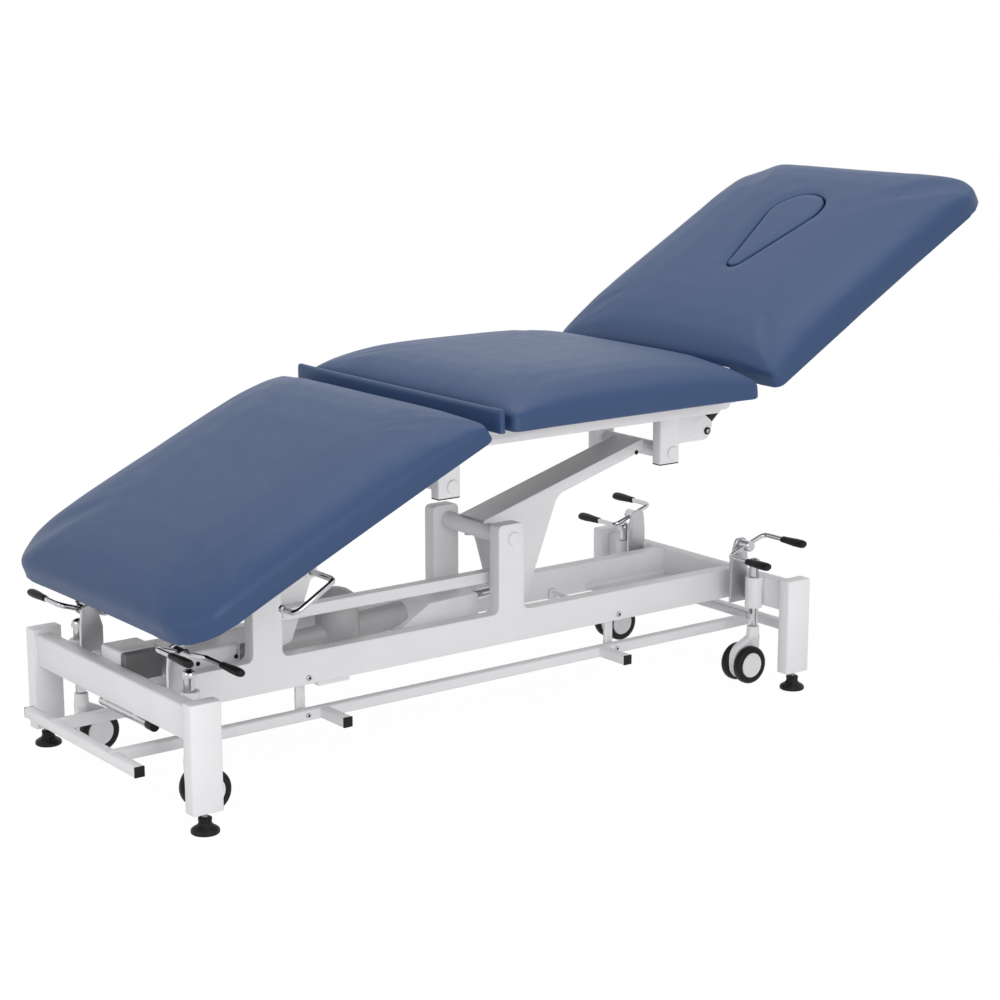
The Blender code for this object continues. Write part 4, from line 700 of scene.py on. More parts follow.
@dataclass
class Castors:
    """Four retracting twin-wheel castors: chrome stem, white hood, wheels and a rocker pedal."""

    wheel_radius: float = 0.039
    wheel_inner: float = 0.0085
    wheel_outer: float = 0.0275
    axle_radius: float = 0.0040
    disc_share: float = 0.65
    stem_radius: float = 0.010
    head_radius: float = 0.013
    head_height: float = 0.017
    head_straight: float = 0.0075
    rod_radius: float = 0.005
    half_bar: float = 0.0515
    bar_setback: float = 0.120
    bend: float = 0.014
    grip_length: float = 0.066
    grip_width: float = 0.0100
    grip_flatness: float = 0.78
    hub_radius: float = 0.011
    hub_length: float = 0.0287

    def build(self) -> None:
        """Models each piece once and copies it to the four corners."""
        wheel, stem, pedal = self.wheel_set(), self.stem(), self.pedal()
        for side, _, tag in corners():
            self.place_wheels(wheel, tag)
            self.place_stem(stem, tag)
            self.place_pedal(pedal, side, tag)
            self.hood(tag)
        for model in (wheel, stem, pedal):
            Bench.scrap(model)

    def wheel_set(self) -> Solid:
        """Models two wheels on their axle, along Y round the origin.

        Returns:
            The model.
        """
        r, out, inner = self.wheel_radius, self.wheel_outer, self.wheel_inner
        disc = r * self.disc_share
        profile = [
            (self.axle_radius, inner), (r * 0.70, inner), (r * 0.86, inner + 0.0006),
            (r * 0.96, inner + 0.0025), (r, inner + 0.0055), (r, out - 0.0065),
            (r * 0.985, out - 0.0035), (r * 0.95, out - 0.0012), (r * 0.89, out),
            (disc * 1.06, out - 0.0006), (disc * 1.015, out - 0.0022), (disc, out - 0.0022),
            (disc * 0.985, out - 0.0006), (disc * 0.93, out - 0.0003), (disc * 0.88, out - 0.0012),
            (disc * 0.5, out - 0.0016), (disc * 0.02, out - 0.0016),
        ]
        wheels = []
        for way in (1, -1):
            wheel = Bench.lathe([(radius, way * offset) for radius, offset in profile], axis=Axis.Y, sides=64)
            Bench.paint(wheel, RUBBER)
            rim = disc * 1.01
            Bench.paint(wheel, WHITE_PLASTIC, lambda c, n: math.hypot(c.x, c.z) < rim)
            wheels.append(wheel)
        thin = self.axle_radius * 0.98
        axle = Bench.lathe([(thin, -inner), (thin, inner)], axis=Axis.Y, sides=16)
        Bench.paint(axle, ZINC)
        return Bench.join(wheels[0], wheels[1], axle)

    def place_wheels(self, model: Solid, tag: str) -> None:
        """Copies the wheels to a castor."""
        node = f"castor_wheels_{tag}"
        copy = Bench.twin(model, Matrix.Translation(middle(node)))
        Bench.deliver(copy, f"wheels_{tag}", body_of(node), Slot.RUBBER, node)

    def stem(self) -> Solid:
        """Models the chrome stem with its domed head, standing on the origin.

        Returns:
            The model.
        """
        low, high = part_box("castor_stem_near_head")
        length = high.z - low.z
        r, head = self.head_radius, length - self.head_height
        profile = [(self.stem_radius * 0.92, 0), (self.stem_radius, 0.001), (self.stem_radius, head - 0.0005),
                   (r * 0.96, head), (r, head + 0.0006), (r, head + 0.0062),
                   (r * 0.985, head + self.head_straight)]
        dome = self.head_height - self.head_straight
        for step in range(1, 7):
            angle = math.pi / 2 * step / 6.3
            profile.append((r * 0.985 * math.cos(angle), head + self.head_straight + dome * math.sin(angle)))
        return Bench.paint(Bench.lathe(profile), CHROME)

    def place_stem(self, model: Solid, tag: str) -> None:
        """Copies the stem to a castor."""
        node = f"castor_stem_{tag}"
        low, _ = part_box(node)
        at = middle(node)
        copy = Bench.twin(model, Matrix.Translation((at.x, at.y, low.z)))
        Bench.deliver(copy, f"stem_{tag}", body_of(node), Slot.CHROME, node)

    def hood(self, tag: str) -> None:
        """Dresses a hood: rounded edges, and shallow panels sunk into its rim between the wheels."""
        node = f"castor_hood_{tag}"
        obj = Bench.node_copy(node)
        Bench.edit(obj)
        bpy.ops.mesh.dissolve_limited(angle_limit=FLAT_ANGLE)
        mesh = bmesh.from_edit_mesh(obj.data)
        neck = middle(f"castor_wheels_{tag}").z + self.wheel_radius * 0.75
        for face in mesh.faces:
            centre = face.calc_center_median()
            rim = abs(face.normal.y) < 0.2 and centre.z < neck and len(face.verts) == 4
            face.select_set(rim)
        bmesh.update_edit_mesh(obj.data)
        bpy.ops.mesh.inset(thickness=0.0014, depth=-0.0009, use_individual=True)
        Bench.pick(obj)
        Bench.apply(obj, "BEVEL", width=0.0006, segments=2, limit_method="ANGLE",
                    angle_limit=SHARP_ANGLE)
        bpy.ops.object.shade_smooth_by_angle(angle=SMOOTH_ANGLE)
        Bench.paint(obj, WHITE_PLASTIC)
        Bench.deliver(obj, f"hood_{tag}", body_of(node), Slot.WHITE_PLASTIC, node)

    def pedal(self) -> Solid:
        """Models a level rocker pedal of the near side, its grip ends at Y 0 and the pivot over the origin.

        Returns:
            The model.
        """
        half, back = self.half_bar, self.bar_setback
        start = 0.004
        rod = Bench.rod([(-half, start, 0), (-half, back, 0), (half, back, 0), (half, start, 0)],
                        self.rod_radius, self.bend)
        Bench.paint(rod, CHROME)
        low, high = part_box("castor_pedal_near_head")
        hub_back = high.y - low.y
        hub_start = hub_back - self.hub_length
        r = self.hub_radius
        rings = [(r * 0.9, hub_start), (r, hub_start + 0.001), (r, hub_back - 0.001), (r * 0.9, hub_back)]
        hub = Bench.lathe(rings, axis=Axis.Y, sides=32)
        Bench.paint(hub, CHROME)
        grips = [self.grip(x) for x in (-half, half)]
        return Bench.join(rod, hub, *grips)

    def grip(self, x: float) -> Solid:
        """Models one flattened rubber grip, thicker towards its free end.

        Args:
            x: The arm that it sits on.

        Returns:
            The piece.
        """
        w, length = self.grip_width, self.grip_length
        profile = [
            (w * 0.25, 0.0003), (w * 0.62, 0.0012), (w * 0.84, 0.0035), (w * 0.96, 0.008), (w, 0.015),
            (w * 0.99, 0.028), (w * 0.90, length * 0.6), (w * 0.80, length * 0.85),
            (w * 0.78, length - 0.002), (w * 0.72, length - 0.0004), (w * 0.55, length),
        ]
        obj = Bench.lathe(profile, axis=Axis.Y, sides=32)
        obj.data.transform(Matrix.Translation((x, 0, 0)) @ Matrix.Diagonal((1, 1, self.grip_flatness, 1)))
        return Bench.paint(obj, RUBBER)

    def place_pedal(self, model: Solid, side: Side, tag: str) -> None:
        """Copies the pedal to a castor, tilted as its node is.

        Args:
            model: The level model.
            side: The table's side.
            tag: The corner's name tag.
        """
        node = f"castor_pedal_{tag}"
        low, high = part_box(node)
        tip = low.y if side is Side.NEAR else high.y
        places = [v.co for v in frame["nodes"][node].data.vertices]
        ends = [c for c in places if abs(c.y - tip) < self.grip_length * 0.4]
        hub = pivot(f"pedal_{tag}")
        right = [c - hub for c in ends if c.x > hub.x]
        run = sum(right, Vector())
        turn = Matrix.Rotation(-math.atan2(run.z, run.x), 4, "Y")
        place = Matrix.Translation((hub.x, tip, hub.z)) @ turn @ mirror(side)
        copy = Bench.twin(model, place)
        Bench.deliver(copy, f"pedal_{tag}", body_of(node), Slot.CHROME, node)


@dataclass
class LevellingFeet:
    """Four flared black feet on threaded studs."""

    flange: float = 0.025
    neck: float = 0.0120
    stud: float = 0.0050
    collar: float = 0.028
    pitch: float = 0.0015
    plain_top: float = 0.018
    scallops: int = 6
    scallop_start: float = 0.014
    scallop_half_turn: float = 9.0
    scallop_share: float = 0.84

    def build(self) -> None:
        """Models one foot and copies it under the four legs."""
        model = self.foot()
        for _, _, tag in corners():
            node = f"levelling_foot_{tag}"
            low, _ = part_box(node)
            at = middle(node)
            copy = Bench.twin(model, Matrix.Translation((at.x, at.y, low.z)))
            Bench.deliver(copy, f"foot_{tag}", body_of(node), Slot.RUBBER, node)
        Bench.scrap(model)

    def foot(self) -> Solid:
        """Models the foot: a flared pad with a scalloped neck, and its stud.

        Returns:
            The model.
        """
        f, n, top = self.flange, self.neck, self.collar
        profile = [
            (f * 0.2, 0), (f * 0.95, 0), (f, 0.0012), (f, 0.0048), (f * 0.975, 0.0068), (f * 0.85, 0.0094),
            (f * 0.64, 0.0122), (n * 1.12, 0.0150), (n, 0.0175), (n * 0.98, 0.0215), (n * 1.04, 0.0245),
            (n * 1.02, 0.0268), (n * 0.86, top), (self.stud * 1.1, top),
        ]
        pad = Bench.lathe(profile, sides=48)
        Bench.edit(pad)
        mesh = bmesh.from_edit_mesh(pad.data)
        sector = 360 / self.scallops
        for vertex in mesh.verts:
            turn = math.degrees(math.atan2(vertex.co.y, vertex.co.x)) % sector
            inside = abs(turn - sector / 2) < self.scallop_half_turn
            vertex.select_set(self.scallop_start < vertex.co.z < top - 0.001 and inside)
        mesh.select_flush_mode()
        bmesh.update_edit_mesh(pad.data)
        share = self.scallop_share
        bpy.ops.transform.resize(value=(share, share, 1), center_override=(0, 0, 0))
        Bench.paint(Bench.done(pad), RUBBER)
        low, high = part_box("levelling_foot_near_head")
        rings = [(self.stud * 0.9, top - 0.004)]
        height = top
        while height < high.z - low.z - self.plain_top:
            rings += [(self.stud * 0.86, height), (self.stud, height + self.pitch * 0.5)]
            height += self.pitch
        rings += [(self.stud * 0.97, height), (self.stud * 0.97, high.z - low.z)]
        stud = Bench.paint(Bench.lathe(rings, sides=24), ZINC)
        return Bench.join(pad, stud)


@dataclass
class Base:
    """The base frame, its switch bar, and the boxes between its rails."""

    screws: Screws
    beam_depth: float = 0.032
    bracket_span: tuple[float, float] = (0.155, 0.1795)
    stub_x: float = 0.331
    stub_reach: float = 0.194
    bar_outer: float = 0.119
    cap_depth: float = 0.0025
    cap_inset: float = 0.0004
    box_screw: float = 0.30
    bar_screw: float = 0.85
    strap_screw: float = 0.50
    control_half_width: float = 0.050
    control_holes: tuple[float, ...] = (0.30, 0.93)
    hole_radius: float = 0.0042
    hole_rise: float = 0.037
    box_screw_share: float = 0.95
    box_screw_pitch: float = 0.006
    yoke_x: float = 0.367
    strap_x: float = 0.640
    strap_span: tuple[float, float] = (0.100, 0.216)
    strap_height: float = 0.015
    strap_sheet: float = 0.003
    strap_screw_inset: float = 0.006
    power_cap: float = 0.0190
    rod_tip: float = 0.0235
    painted: tuple[str, ...] = (
        "side_frame_near", "side_frame_far", "bar_yoke_foot", "bar_yoke_head", "cable_tray",
    )

    def build(self) -> None:
        """Dresses the frame, then adds its caps and screws."""
        for node in self.painted:
            self.coat(node)
        for _, _, tag in corners():
            self.coat(f"leg_{tag}", 0.0014)
        for end in End:
            self.beam(end)
        self.coat("foot_bar", 0.0008)
        self.bar_caps()
        self.control_box()
        self.power_box()
        self.stow_rod()
        self.yoke_screws()
        self.bar_screws()
        for side in Side:
            self.strap(side)

    def coat(self, node: str, edge: float = 0.0010) -> Solid:
        """Gives a node rounded edges and powder coat.

        Args:
            node: The node's name.
            edge: The edges' radius.

        Returns:
            The piece.
        """
        obj = Bench.paint(Bench.softened(node, edge), PAINT)
        return Bench.deliver(obj, f"{node}_coated", body_of(node), Slot.PAINT, node)

    def beam(self, end: End) -> None:
        """Dresses an end beam: powder coat, with plated pedal brackets."""
        node = f"{end.tag}_beam"
        low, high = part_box(node)
        centre = base_middle()
        inner = max(abs(low.x - centre), abs(high.x - centre)) - self.beam_depth - 0.0005
        near, far = self.bracket_span
        obj = self.coat(node)
        Bench.paint(obj, ZINC, lambda c, n: near < abs(c.y) < far and abs(c.x - centre) < inner)

    def bar_caps(self) -> None:
        """Puts black plugs into the open ends of the switch bar's tubes."""
        low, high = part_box("foot_bar")
        tube = high.z - low.z
        inset = self.cap_inset
        centre = base_middle()
        ends = [(low.x + tube / 2, high.y), (high.x - tube / 2, high.y)]
        ends += [(centre - self.stub_x, self.stub_reach), (centre + self.stub_x, self.stub_reach)]
        for index, (x, reach) in enumerate(ends):
            for side in Side:
                half = tube / 2 - inset
                y0, y1 = sorted((side.value * (reach - 0.001), side.value * (reach + self.cap_depth)))
                cap = Bench.block((x - half, y0, low.z + inset), (x + half, y1, high.z - inset), 0.0008)
                Bench.paint(cap, RUBBER)
                Bench.deliver(cap, f"bar_cap_{index}_{side.tag}", "foot_bar", Slot.RUBBER)

    def control_box(self) -> None:
        """Dresses the control box: a moulded case with ports painted black as painted shade, and small
        screws.
        """
        node = "control_box"
        obj = Bench.paint(Bench.softened(node, 0.0012), WHITE_PLASTIC)
        Bench.deliver(obj, "control_case", "base", Slot.WHITE_PLASTIC, node)
        low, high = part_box(node)
        face = -self.control_half_width
        length = high.x - low.x
        for index, share in enumerate(self.control_holes):
            hole = self.port(self.hole_radius, (low.x + length * share, face, low.z + self.hole_rise))
            Bench.deliver(hole, f"control_hole_{index}", "base", Slot.RUBBER)
        for index in range(3):
            rise = self.hole_rise + self.box_screw_pitch * (index + 1)
            at = (low.x + length * self.box_screw_share, face, low.z + rise)
            self.screws.put(f"control_screw_{index}", "base", at, Vector((0, -1, 0)), self.box_screw)

    @staticmethod
    def port(radius: float, at: Point) -> Solid:
        """Models a rimmed port on a face towards the near side: a shallow dish painted black as painted shade
        for the depth of the hole.

        Args:
            radius: Its outer radius.
            at: Where it stands on the face.

        Returns:
            The piece.
        """
        r = radius
        rings = [(r, -SINK), (r, 0.0008), (r * 0.88, 0.0014), (r * 0.74, 0.0014)]
        rings += [(r * 0.66, 0.0004), (r * 0.1, 0.0004)]
        obj = Bench.lathe(rings, axis=Axis.Y, sides=28)
        obj.data.transform(Matrix.Translation(at) @ Matrix.Diagonal((1, -1, 1, 1)))
        # Painted shade: the whole port is painted black, standing in for the shade deep inside a hole.
        return Bench.paint(Bench.done(obj), RUBBER)

    def power_box(self) -> None:
        """Dresses the power supply, with a dark end cap towards the near side."""
        node = "power_box"
        low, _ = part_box(node)
        obj = Bench.paint(Bench.softened(node, 0.0014), WHITE_PLASTIC)
        Bench.paint(obj, DARK_GREY, lambda c, n: c.y < low.y + self.power_cap)
        Bench.deliver(obj, "power_case", "base", Slot.WHITE_PLASTIC, node)

    def stow_rod(self) -> None:
        """Dresses the chrome rod under the foot beam, with its rubber end."""
        node = "stow_rod"
        low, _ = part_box(node)
        obj = Bench.softened(node, 0.0006)
        Bench.paint(obj, CHROME)
        Bench.paint(obj, RUBBER, lambda c, n: c.y < low.y + self.rod_tip)
        Bench.deliver(obj, "stow_rod_dressed", "base", Slot.CHROME, node)

    def yoke_screws(self) -> None:
        """Puts the yokes' pivot screws on the rails' outer faces."""
        for end in End:
            hub = pivot("bar_swing" if end is End.FOOT else "bar_swing_head")
            for side in Side:
                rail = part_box(f"side_frame_{side.tag}")
                face = rail[0].y if side is Side.NEAR else rail[1].y
                name = f"yoke_screw_{side.tag}_{end.tag}"
                self.screws.put(name, "base", (hub.x, face, hub.z), Vector((0, side.value, 0)))

    def bar_screws(self) -> None:
        """Puts the screws that hold the yokes on the switch bar's outer faces."""
        low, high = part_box("foot_bar")
        rise = (low.z + high.z) / 2
        for end in End:
            for side in Side:
                at = (base_middle() + end.value * self.yoke_x, side.value * self.bar_outer, rise)
                name = f"bar_screw_{side.tag}_{end.tag}"
                self.screws.put(name, "foot_bar", at, Vector((0, side.value, 0)), self.bar_screw)

    def strap(self, side: Side) -> None:
        """Models the plated strap under the head beam between a rail and its castor, with two screws.

        Args:
            side: The table's side.
        """
        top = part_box(f"side_frame_{side.tag}")[0].z
        x = base_middle() + self.strap_x
        inner, outer = self.strap_span
        y0, y1 = sorted((side.value * inner, side.value * outer))
        low = (x - self.strap_sheet / 2, y0, top - self.strap_height)
        strap = Bench.block(low, (x + self.strap_sheet / 2, y1, top - 0.0002), 0.0008)
        Bench.paint(strap, ZINC)
        Bench.deliver(strap, f"castor_strap_{side.tag}", "base", Slot.CHROME)
        for index, share in enumerate((0.25, 0.75)):
            at = (low[0], side.value * (outer - self.strap_screw_inset), top - self.strap_height * share)
            name = f"strap_screw_{side.tag}_{index}"
            self.screws.put(name, "base", at, Vector((-1, 0, 0)), self.strap_screw)


@dataclass
class Lift:
    """The parallelogram lift: two folded arms, a link bar and the linear actuator."""

    edge: float = 0.0010
    nose_start: float = 0.336
    tail: float = 0.014
    plug_radius: float = 0.0046
    plug_setback: float = 0.034
    plug_rise: float = 0.003
    arm_half_width: float = 0.040
    tube_radius: float = 0.0170
    tail_cut: float = 0.004
    tube_gap: float = 0.0006

    def build(self) -> None:
        """Dresses the arms, the link and the actuator."""
        for node in ("lift_arm", "foot_arm"):
            self.arm(node)
            self.arm_plugs(node)
        link = Bench.paint(Bench.softened("link_bar", self.edge), PAINT)
        Bench.deliver(link, "link_bar_coated", body_of("link_bar"), Slot.PAINT, "link_bar")
        self.actuator()

    def arm(self, node: str) -> None:
        """Dresses an arm, with its channel trimmed so that the lower tube shows all round.

        Args:
            node: The arm's node.
        """
        foot = pivot("lift" if node == "lift_arm" else "foot_arm_swing")
        along = (pivot("top_level") - pivot("lift")).normalized()
        channel = Bench.softened(node, self.edge)
        Bench.edit(channel)
        mesh = bmesh.from_edit_mesh(channel.data)
        for face in mesh.faces:
            face.select_set(all(abs(v.co.y) < self.arm_half_width + 0.0005 for v in face.verts))
        bmesh.update_edit_mesh(channel.data)
        bpy.ops.mesh.bisect(plane_co=foot - along * self.tail_cut, plane_no=along, clear_inner=True)
        Bench.pick(channel)
        r, half = self.tube_radius, -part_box("side_frame_near")[1].y - self.tube_gap
        rings = [(r * 0.9, -half), (r, 0.001 - half), (r, half - 0.001), (r * 0.9, half)]
        tube = Bench.lathe(rings, foot, Axis.Y)
        Bench.paint(Bench.join(channel, tube), PAINT)
        Bench.deliver(channel, f"{node}_coated", body_of(node), Slot.PAINT, node)

    def actuator(self) -> None:
        """Dresses the actuator: a grey motor and tube, a white wedge-shaped nose and a bright rod."""
        low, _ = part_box("actuator_body")
        start = low.x + self.tail + self.nose_start
        motor = Bench.paint(Bench.softened("actuator_body", 0.0016), GREY_PLASTIC)
        Bench.paint(motor, WHITE_PLASTIC, lambda c, n: c.x > start)
        Bench.deliver(motor, "actuator_case", "actuator", Slot.GREY_PLASTIC, "actuator_body")
        rod = Bench.paint(Bench.softened("actuator_rod", 0.0006), CHROME)
        Bench.deliver(rod, "push_rod_dressed", "push_rod", Slot.CHROME, "actuator_rod")

    def arm_plugs(self, node: str) -> None:
        """Puts a small black plug on each side of an arm, short of its upper pivot.

        Args:
            node: The arm's node.
        """
        body = body_of(node)
        along = pivot("top_level") - pivot("lift")
        foot = pivot("lift" if node == "lift_arm" else "foot_arm_swing")
        spot = foot + along - along.normalized() * self.plug_setback + Vector((0, 0, self.plug_rise))
        r = self.plug_radius
        for side in Side:
            rings = [(r, -SINK), (r, 0.0008), (r * 0.8, 0.0016), (r * 0.1, 0.0018)]
            plug = Bench.lathe(rings, axis=Axis.Y, sides=24)
            face = Matrix.Translation((spot.x, side.value * self.arm_half_width, spot.z))
            plug.data.transform(face @ Matrix.Diagonal((1, side.value, 1, 1)))
            Bench.paint(Bench.done(plug), RUBBER)
            Bench.deliver(plug, f"{node}_plug_{side.tag}", body, Slot.RUBBER)


@dataclass
class TopFrame:
    """The rails, hangers, hinges, gas springs and the release handle under the cushions."""

    screws: Screws
    edge: float = 0.0009
    painted: tuple[str, ...] = (
        "seat_rail_near", "seat_rail_far", "hanger_foot", "hanger_head", "leg_rail_near", "leg_rail_far",
        "leg_crossbar", "back_rail_near", "back_rail_far", "back_crossbar",
    )
    plug_depth: float = 0.0025
    plug_inset: float = 0.0006
    lug_face: float = -0.1145
    bolt_radius: float = 0.0075
    cap_floor: float = 0.0026

    def build(self) -> None:
        """Dresses the frame, its springs and its handle, and adds plugs and bolts."""
        for node in self.painted:
            obj = Bench.paint(Bench.softened(node, self.edge), PAINT)
            Bench.deliver(obj, f"{node}_coated", body_of(node), Slot.PAINT, node)
        for section in ("leg", "back"):
            self.spring(section)
        handle = Bench.paint(Bench.softened("release_handle", 0.0004), CHROME)
        Bench.deliver(handle, "release_lever", body_of("release_handle"), Slot.CHROME, "release_handle")
        self.hanger_plugs()
        self.lug_bolt()

    def lug_bolt(self) -> None:
        """Puts the back spring's bolt on the lug's near face: a black cap round a bright head."""
        lug = pivot("back_spring_tilt")
        face, r = self.lug_face, self.bolt_radius
        rings = [(r, -SINK), (r, 0.0030), (r * 0.86, 0.0042), (r * 0.60, 0.0042)]
        rings += [(r * 0.56, self.cap_floor), (r * 0.05, self.cap_floor)]
        cap = Bench.lathe(rings, axis=Axis.Y, sides=32)
        cap.data.transform(Matrix.Translation((lug.x, face, lug.z)) @ Matrix.Diagonal((1, -1, 1, 1)))
        Bench.paint(Bench.done(cap), RUBBER)
        Bench.deliver(cap, "lug_bolt_cap", "top_frame", Slot.RUBBER)
        at = (lug.x, face - self.cap_floor, lug.z)
        self.screws.put("lug_bolt", "top_frame", at, Vector((0, -1, 0)), r * 0.52 / self.screws.radius)

    def spring(self, section: str) -> None:
        """Dresses a gas spring: enamelled cylinder and a bright rod."""
        node = f"{section}_spring_cylinder"
        case = Bench.paint(Bench.softened(node, 0.0010), SATIN_BLACK if section == "back" else GREY_PLASTIC)
        Bench.deliver(case, f"{section}_spring_case", body_of(node), Slot.GREY_PLASTIC, node)
        node = f"{section}_spring_rod"
        rod = Bench.paint(Bench.softened(node, 0.0004), CHROME)
        Bench.deliver(rod, f"{section}_spring_shaft", body_of(node), Slot.CHROME, node)

    def hanger_plugs(self) -> None:
        """Puts black plugs into the open lower ends of the hangers' drop tubes."""
        for end in End:
            node = f"hanger_{end.tag}"
            low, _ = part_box(node)
            spots = [v.co for v in frame["nodes"][node].data.vertices if v.co.z < low.z + 0.001]
            for side in Side:
                mine = [c for c in spots if c.y * side.value > 0]
                x0, x1 = min(c.x for c in mine), max(c.x for c in mine)
                y0, y1 = min(c.y for c in mine), max(c.y for c in mine)
                inset = self.plug_inset
                plug = Bench.block((x0 + inset, y0 + inset, low.z - self.plug_depth),
                                   (x1 - inset, y1 - inset, low.z - 0.0001), 0.0009)
                name = f"hanger_plug_{side.tag}_{end.tag}"
                Bench.deliver(Bench.paint(plug, RUBBER), name, "top_frame", Slot.RUBBER)


@dataclass
class Cushion:
    """A padded section: its node's form, remeshed level, puffed by a cloth simulation and turned back."""

    node: str
    tilt: float = 0.0
    voxel: float = 0.006
    shrink: float = 0.0010
    pressure: float = 4.0
    cap: float = 0.0016
    frames: int = 20
    smooth: int = 6
    fill: float = 0.85
    hem: float = 0.004
    seat: float = 0.0003
    swell: Point = (0.0, 0.0, 0.0)
    skin: Solid | None = field(default=None, repr=False)

    def build(self) -> None:
        """Models the cushion and hands it over."""
        obj = self.skin = Bench.node_copy(self.node)
        level = Matrix.Rotation(self.tilt, 4, "Y")
        obj.data.transform(level)
        base = self.floor() + self.seat
        obj.data.remesh_voxel_size = self.voxel
        bpy.ops.object.voxel_remesh()
        self.relax(self.smooth)
        self.grow()
        self.puff()
        self.relax(2)
        Bench.apply(obj, "SUBSURF", levels=1, render_levels=1)
        obj.data.transform(Matrix.Translation((0, 0, base - self.floor())))
        self.mark_underside()
        obj.data.transform(level.inverted())
        bpy.ops.object.shade_smooth()
        Bench.paint(obj, VINYL)
        name = self.node.replace("_cushion", "") + "_pad"
        Bench.deliver(obj, name, body_of(self.node), Slot.VINYL, self.node)

    def floor(self) -> float:
        """Returns the height of the level cushion's underside."""
        return min(v.co.z for v in self.skin.data.vertices)

    def grow(self) -> None:
        """Makes the skin larger by its swell, away from its head end, its middle and its underside."""
        places = [v.co for v in self.skin.data.vertices]
        low, high = (Vector(edge(p[axis] for p in places) for axis in range(3)) for edge in (min, max))
        factors = [1 + more / size for more, size in zip(self.swell, high - low)]
        Bench.edit(self.skin)
        bpy.ops.transform.resize(value=factors, center_override=(high.x, (low.y + high.y) / 2, low.z))
        Bench.pick(self.skin)

    def relax(self, repeats: int) -> None:
        """Evens out the skin, all but its flat underside.

        Args:
            repeats: How often it is smoothed.
        """
        base = self.floor() + self.hem
        Bench.edit(self.skin)
        mesh = bmesh.from_edit_mesh(self.skin.data)
        for vertex in mesh.verts:
            vertex.select_set(vertex.co.z > base)
        mesh.select_flush_mode()
        bmesh.update_edit_mesh(self.skin.data)
        bpy.ops.mesh.vertices_smooth(factor=0.5, repeat=repeats)
        Bench.pick(self.skin)

    def puff(self) -> None:
        """Swells the skin with a short cloth simulation, its underside held on the board."""
        obj = self.skin
        base = self.floor() + self.hem * 1.5
        pins = obj.vertex_groups.new(name="board")
        held = {v.index for v in obj.data.vertices if v.co.z < base}
        pins.add(list(held), 1.0, "REPLACE")
        normals = [v.normal.copy() for v in obj.data.vertices]
        for vertex, normal in zip(obj.data.vertices, normals):
            if vertex.index not in held:
                vertex.co -= normal * self.shrink
        rest = [v.co.copy() for v in obj.data.vertices]
        self.simulate(pins.name)
        for vertex, old in zip(obj.data.vertices, rest):
            step = vertex.co - old
            if step.length > self.cap:
                vertex.co = old + step.normalized() * self.cap

    def simulate(self, pins: str) -> None:
        """Runs the cloth simulation and keeps its last frame.

        Args:
            pins: The vertex group that stays in place.
        """
        cloth = self.skin.modifiers.new("Cloth", "CLOTH")
        settings = cloth.settings
        settings.quality = 4
        settings.use_pressure = True
        settings.uniform_pressure_force = self.pressure
        settings.vertex_group_mass = pins
        settings.tension_stiffness = settings.compression_stiffness = 60.0
        settings.shear_stiffness = 30.0
        settings.bending_stiffness = 4.0
        settings.effector_weights.gravity = 0.0
        cloth.collision_settings.use_collision = False
        cloth.point_cache.frame_start, cloth.point_cache.frame_end = 1, self.frames
        for number in range(1, self.frames + 1):
            bpy.context.scene.frame_set(number)
        Bench.pick(self.skin)
        bpy.ops.object.modifier_apply(modifier=cloth.name)
        bpy.context.scene.frame_set(1)

    def mark_underside(self) -> None:
        """Writes how far each point of the flat underside lies from the side, for the cloth there."""
        obj = self.skin
        base = self.floor() + self.hem
        walls = [v for v in obj.data.vertices if v.co.z > base]
        tree = KDTree(len(walls))
        for vertex in walls:
            tree.insert(vertex.co, vertex.index)
        tree.balance()
        mark = obj.data.attributes.new(Upholstery.mark, "FLOAT", "POINT")
        for vertex in obj.data.vertices:
            if vertex.co.z <= base:
                mark.data[vertex.index].value = tree.find(vertex.co)[2]


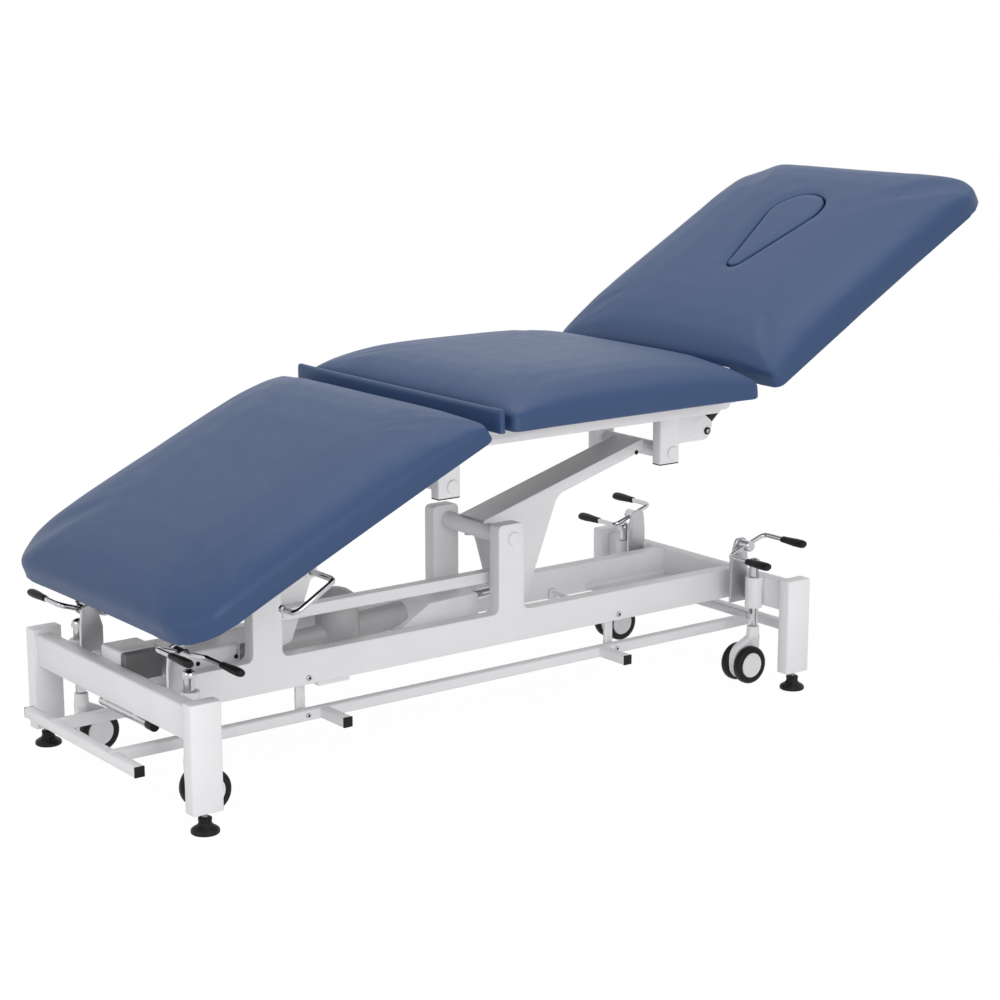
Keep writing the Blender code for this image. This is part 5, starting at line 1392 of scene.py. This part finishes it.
@dataclass
class Studio:
    """A plain white studio: pale floor, soft lights and the camera."""

    camera_from_base: Point = (-2.4670, -3.4744, 1.3599)
    right: Point = (0.7975, -0.6033, 0.0)
    up: Point = (0.1282, 0.1695, 0.9772)
    lens: float = 81.25
    sensor: float = 36.0
    floor_size: float = 30.0
    floor_drop: float = 0.0005
    floor_tint: Colour = (0.97, 0.97, 0.97)
    aim_height: float = 0.45
    world_strength: float = 0.58
    key_power: float = 57.0
    fill_power: float = 19.0
    top_power: float = 35.0
    floor_share: float = 0.95
    floor_white: float = 1.02

    def build(self) -> None:
        """Sets up the view, the floor, the world, the lights and the camera."""
        bpy.context.scene.view_settings.view_transform = "Standard"
        self.floor()
        self.world()
        self.area("key", (-1.2, -4.4, 1.7), (2.8, 2.2), self.key_power)
        self.area("fill", (-4.2, -1.0, 1.8), (2.4, 2.0), self.fill_power)
        self.area("top", (0.2, 0.2, 3.6), (3.2, 2.0), self.top_power)
        self.camera()

    @staticmethod
    def seen(tree: bpy.types.NodeTree) -> Socket:
        """Adds the test whether a ray comes from the camera, a reflection or a transmission.

        Args:
            tree: The node tree.

        Returns:
            1 for such a ray, otherwise 0.
        """
        path = tree.nodes.new("ShaderNodeLightPath")
        total = path.outputs["Is Camera Ray"]
        for name in ("Is Glossy Ray", "Is Transmission Ray"):
            either = tree.nodes.new("ShaderNodeMath")
            either.operation = "MAXIMUM"
            tree.links.new(total, either.inputs[0])
            tree.links.new(path.outputs[name], either.inputs[1])
            total = either.outputs[0]
        return total

    def floor(self) -> None:
        """Lays a pale floor that shows white and keeps a soft shadow."""
        Bench.clear()
        bpy.ops.mesh.primitive_plane_add(size=self.floor_size, location=(0, 0, -self.floor_drop))
        floor = bpy.context.object
        floor.name = "studio_floor"
        material = bpy.data.materials.new("studio_floor")
        material.use_nodes = True
        tree = material.node_tree
        tree.nodes.clear()
        output = tree.nodes.new("ShaderNodeOutputMaterial")
        matt = tree.nodes.new("ShaderNodeBsdfDiffuse")
        matt.inputs["Color"].default_value = (*self.floor_tint, 1)
        white = tree.nodes.new("ShaderNodeEmission")
        white.inputs["Strength"].default_value = self.floor_white
        share = tree.nodes.new("ShaderNodeMath")
        share.operation = "MULTIPLY"
        share.inputs[1].default_value = self.floor_share
        mix = tree.nodes.new("ShaderNodeMixShader")
        tree.links.new(self.seen(tree), share.inputs[0])
        tree.links.new(share.outputs[0], mix.inputs[0])
        tree.links.new(matt.outputs[0], mix.inputs[1])
        tree.links.new(white.outputs[0], mix.inputs[2])
        tree.links.new(mix.outputs[0], output.inputs["Surface"])
        floor.data.materials.append(material)

    def world(self) -> None:
        """Makes the world white to the eye and a plain even light to the rest."""
        world = bpy.data.worlds.new("studio")
        bpy.context.scene.world = world
        world.use_nodes = True
        tree = world.node_tree
        back = tree.nodes["Background"]
        back.inputs["Color"].default_value = (1, 1, 1, 1)
        strength = tree.nodes.new("ShaderNodeMapRange")
        strength.inputs["To Min"].default_value = self.world_strength
        strength.inputs["To Max"].default_value = 1.0
        tree.links.new(self.seen(tree), strength.inputs["Value"])
        tree.links.new(strength.outputs["Result"], back.inputs["Strength"])

    def area(self, name: str, at: Point, size: tuple[float, float], power: float) -> None:
        """Hangs a soft light that faces the table.

        Args:
            name: The light's name.
            at: Where it hangs.
            size: Its width and height.
            power: Its power in watts.
        """
        light = bpy.data.lights.new(name, "AREA")
        light.shape = "RECTANGLE"
        light.size, light.size_y = size
        light.energy = power
        obj = bpy.data.objects.new(name, light)
        bpy.context.scene.collection.objects.link(obj)
        obj.location = at
        aim = Vector((0, 0, self.aim_height)) - Vector(at)
        obj.rotation_euler = aim.to_track_quat("-Z", "Y").to_euler()

    def camera(self) -> None:
        """Sets the camera at the photograph's place and angle."""
        data = bpy.data.cameras.new("photo_camera")
        data.lens, data.sensor_width = self.lens, self.sensor
        obj = bpy.data.objects.new("photo_camera", data)
        bpy.context.scene.collection.objects.link(obj)
        right, up = Vector(self.right), Vector(self.up)
        axes = Matrix((right, up, right.cross(up))).transposed().to_4x4()
        at = Vector(self.camera_from_base) + Vector((base_middle(), 0, 0))
        obj.matrix_world = Matrix.Translation(at) @ axes
        bpy.context.scene.camera = obj


def main() -> None:
    """Builds the sub-assemblies and the studio in order."""
    logging.basicConfig(level=logging.INFO, format="%(name)s: %(message)s")
    screws = Screws()
    Base(screws).build()
    Castors().build()
    LevellingFeet().build()
    Lift().build()
    TopFrame(screws).build()
    leg_tilt = math.radians(joint("leg_angle")["range_deg"][1])
    back_tilt = math.radians(-joint("back_angle")["range_deg"][0])
    Cushion("leg_cushion", tilt=leg_tilt, swell=(0.005, 0.010, 0.003)).build()
    Cushion("seat_cushion").build()
    Cushion("back_cushion", tilt=back_tilt).build()
    Cushion("breath_plug", tilt=back_tilt, voxel=0.004).build()
    Cushion("gap_strip", voxel=0.003, smooth=3, cap=0.001, shrink=0.001, seat=0.0012).build()
    Bench.scrap(screws.model)
    Studio().build()


if __name__ == "__main__":
    main()
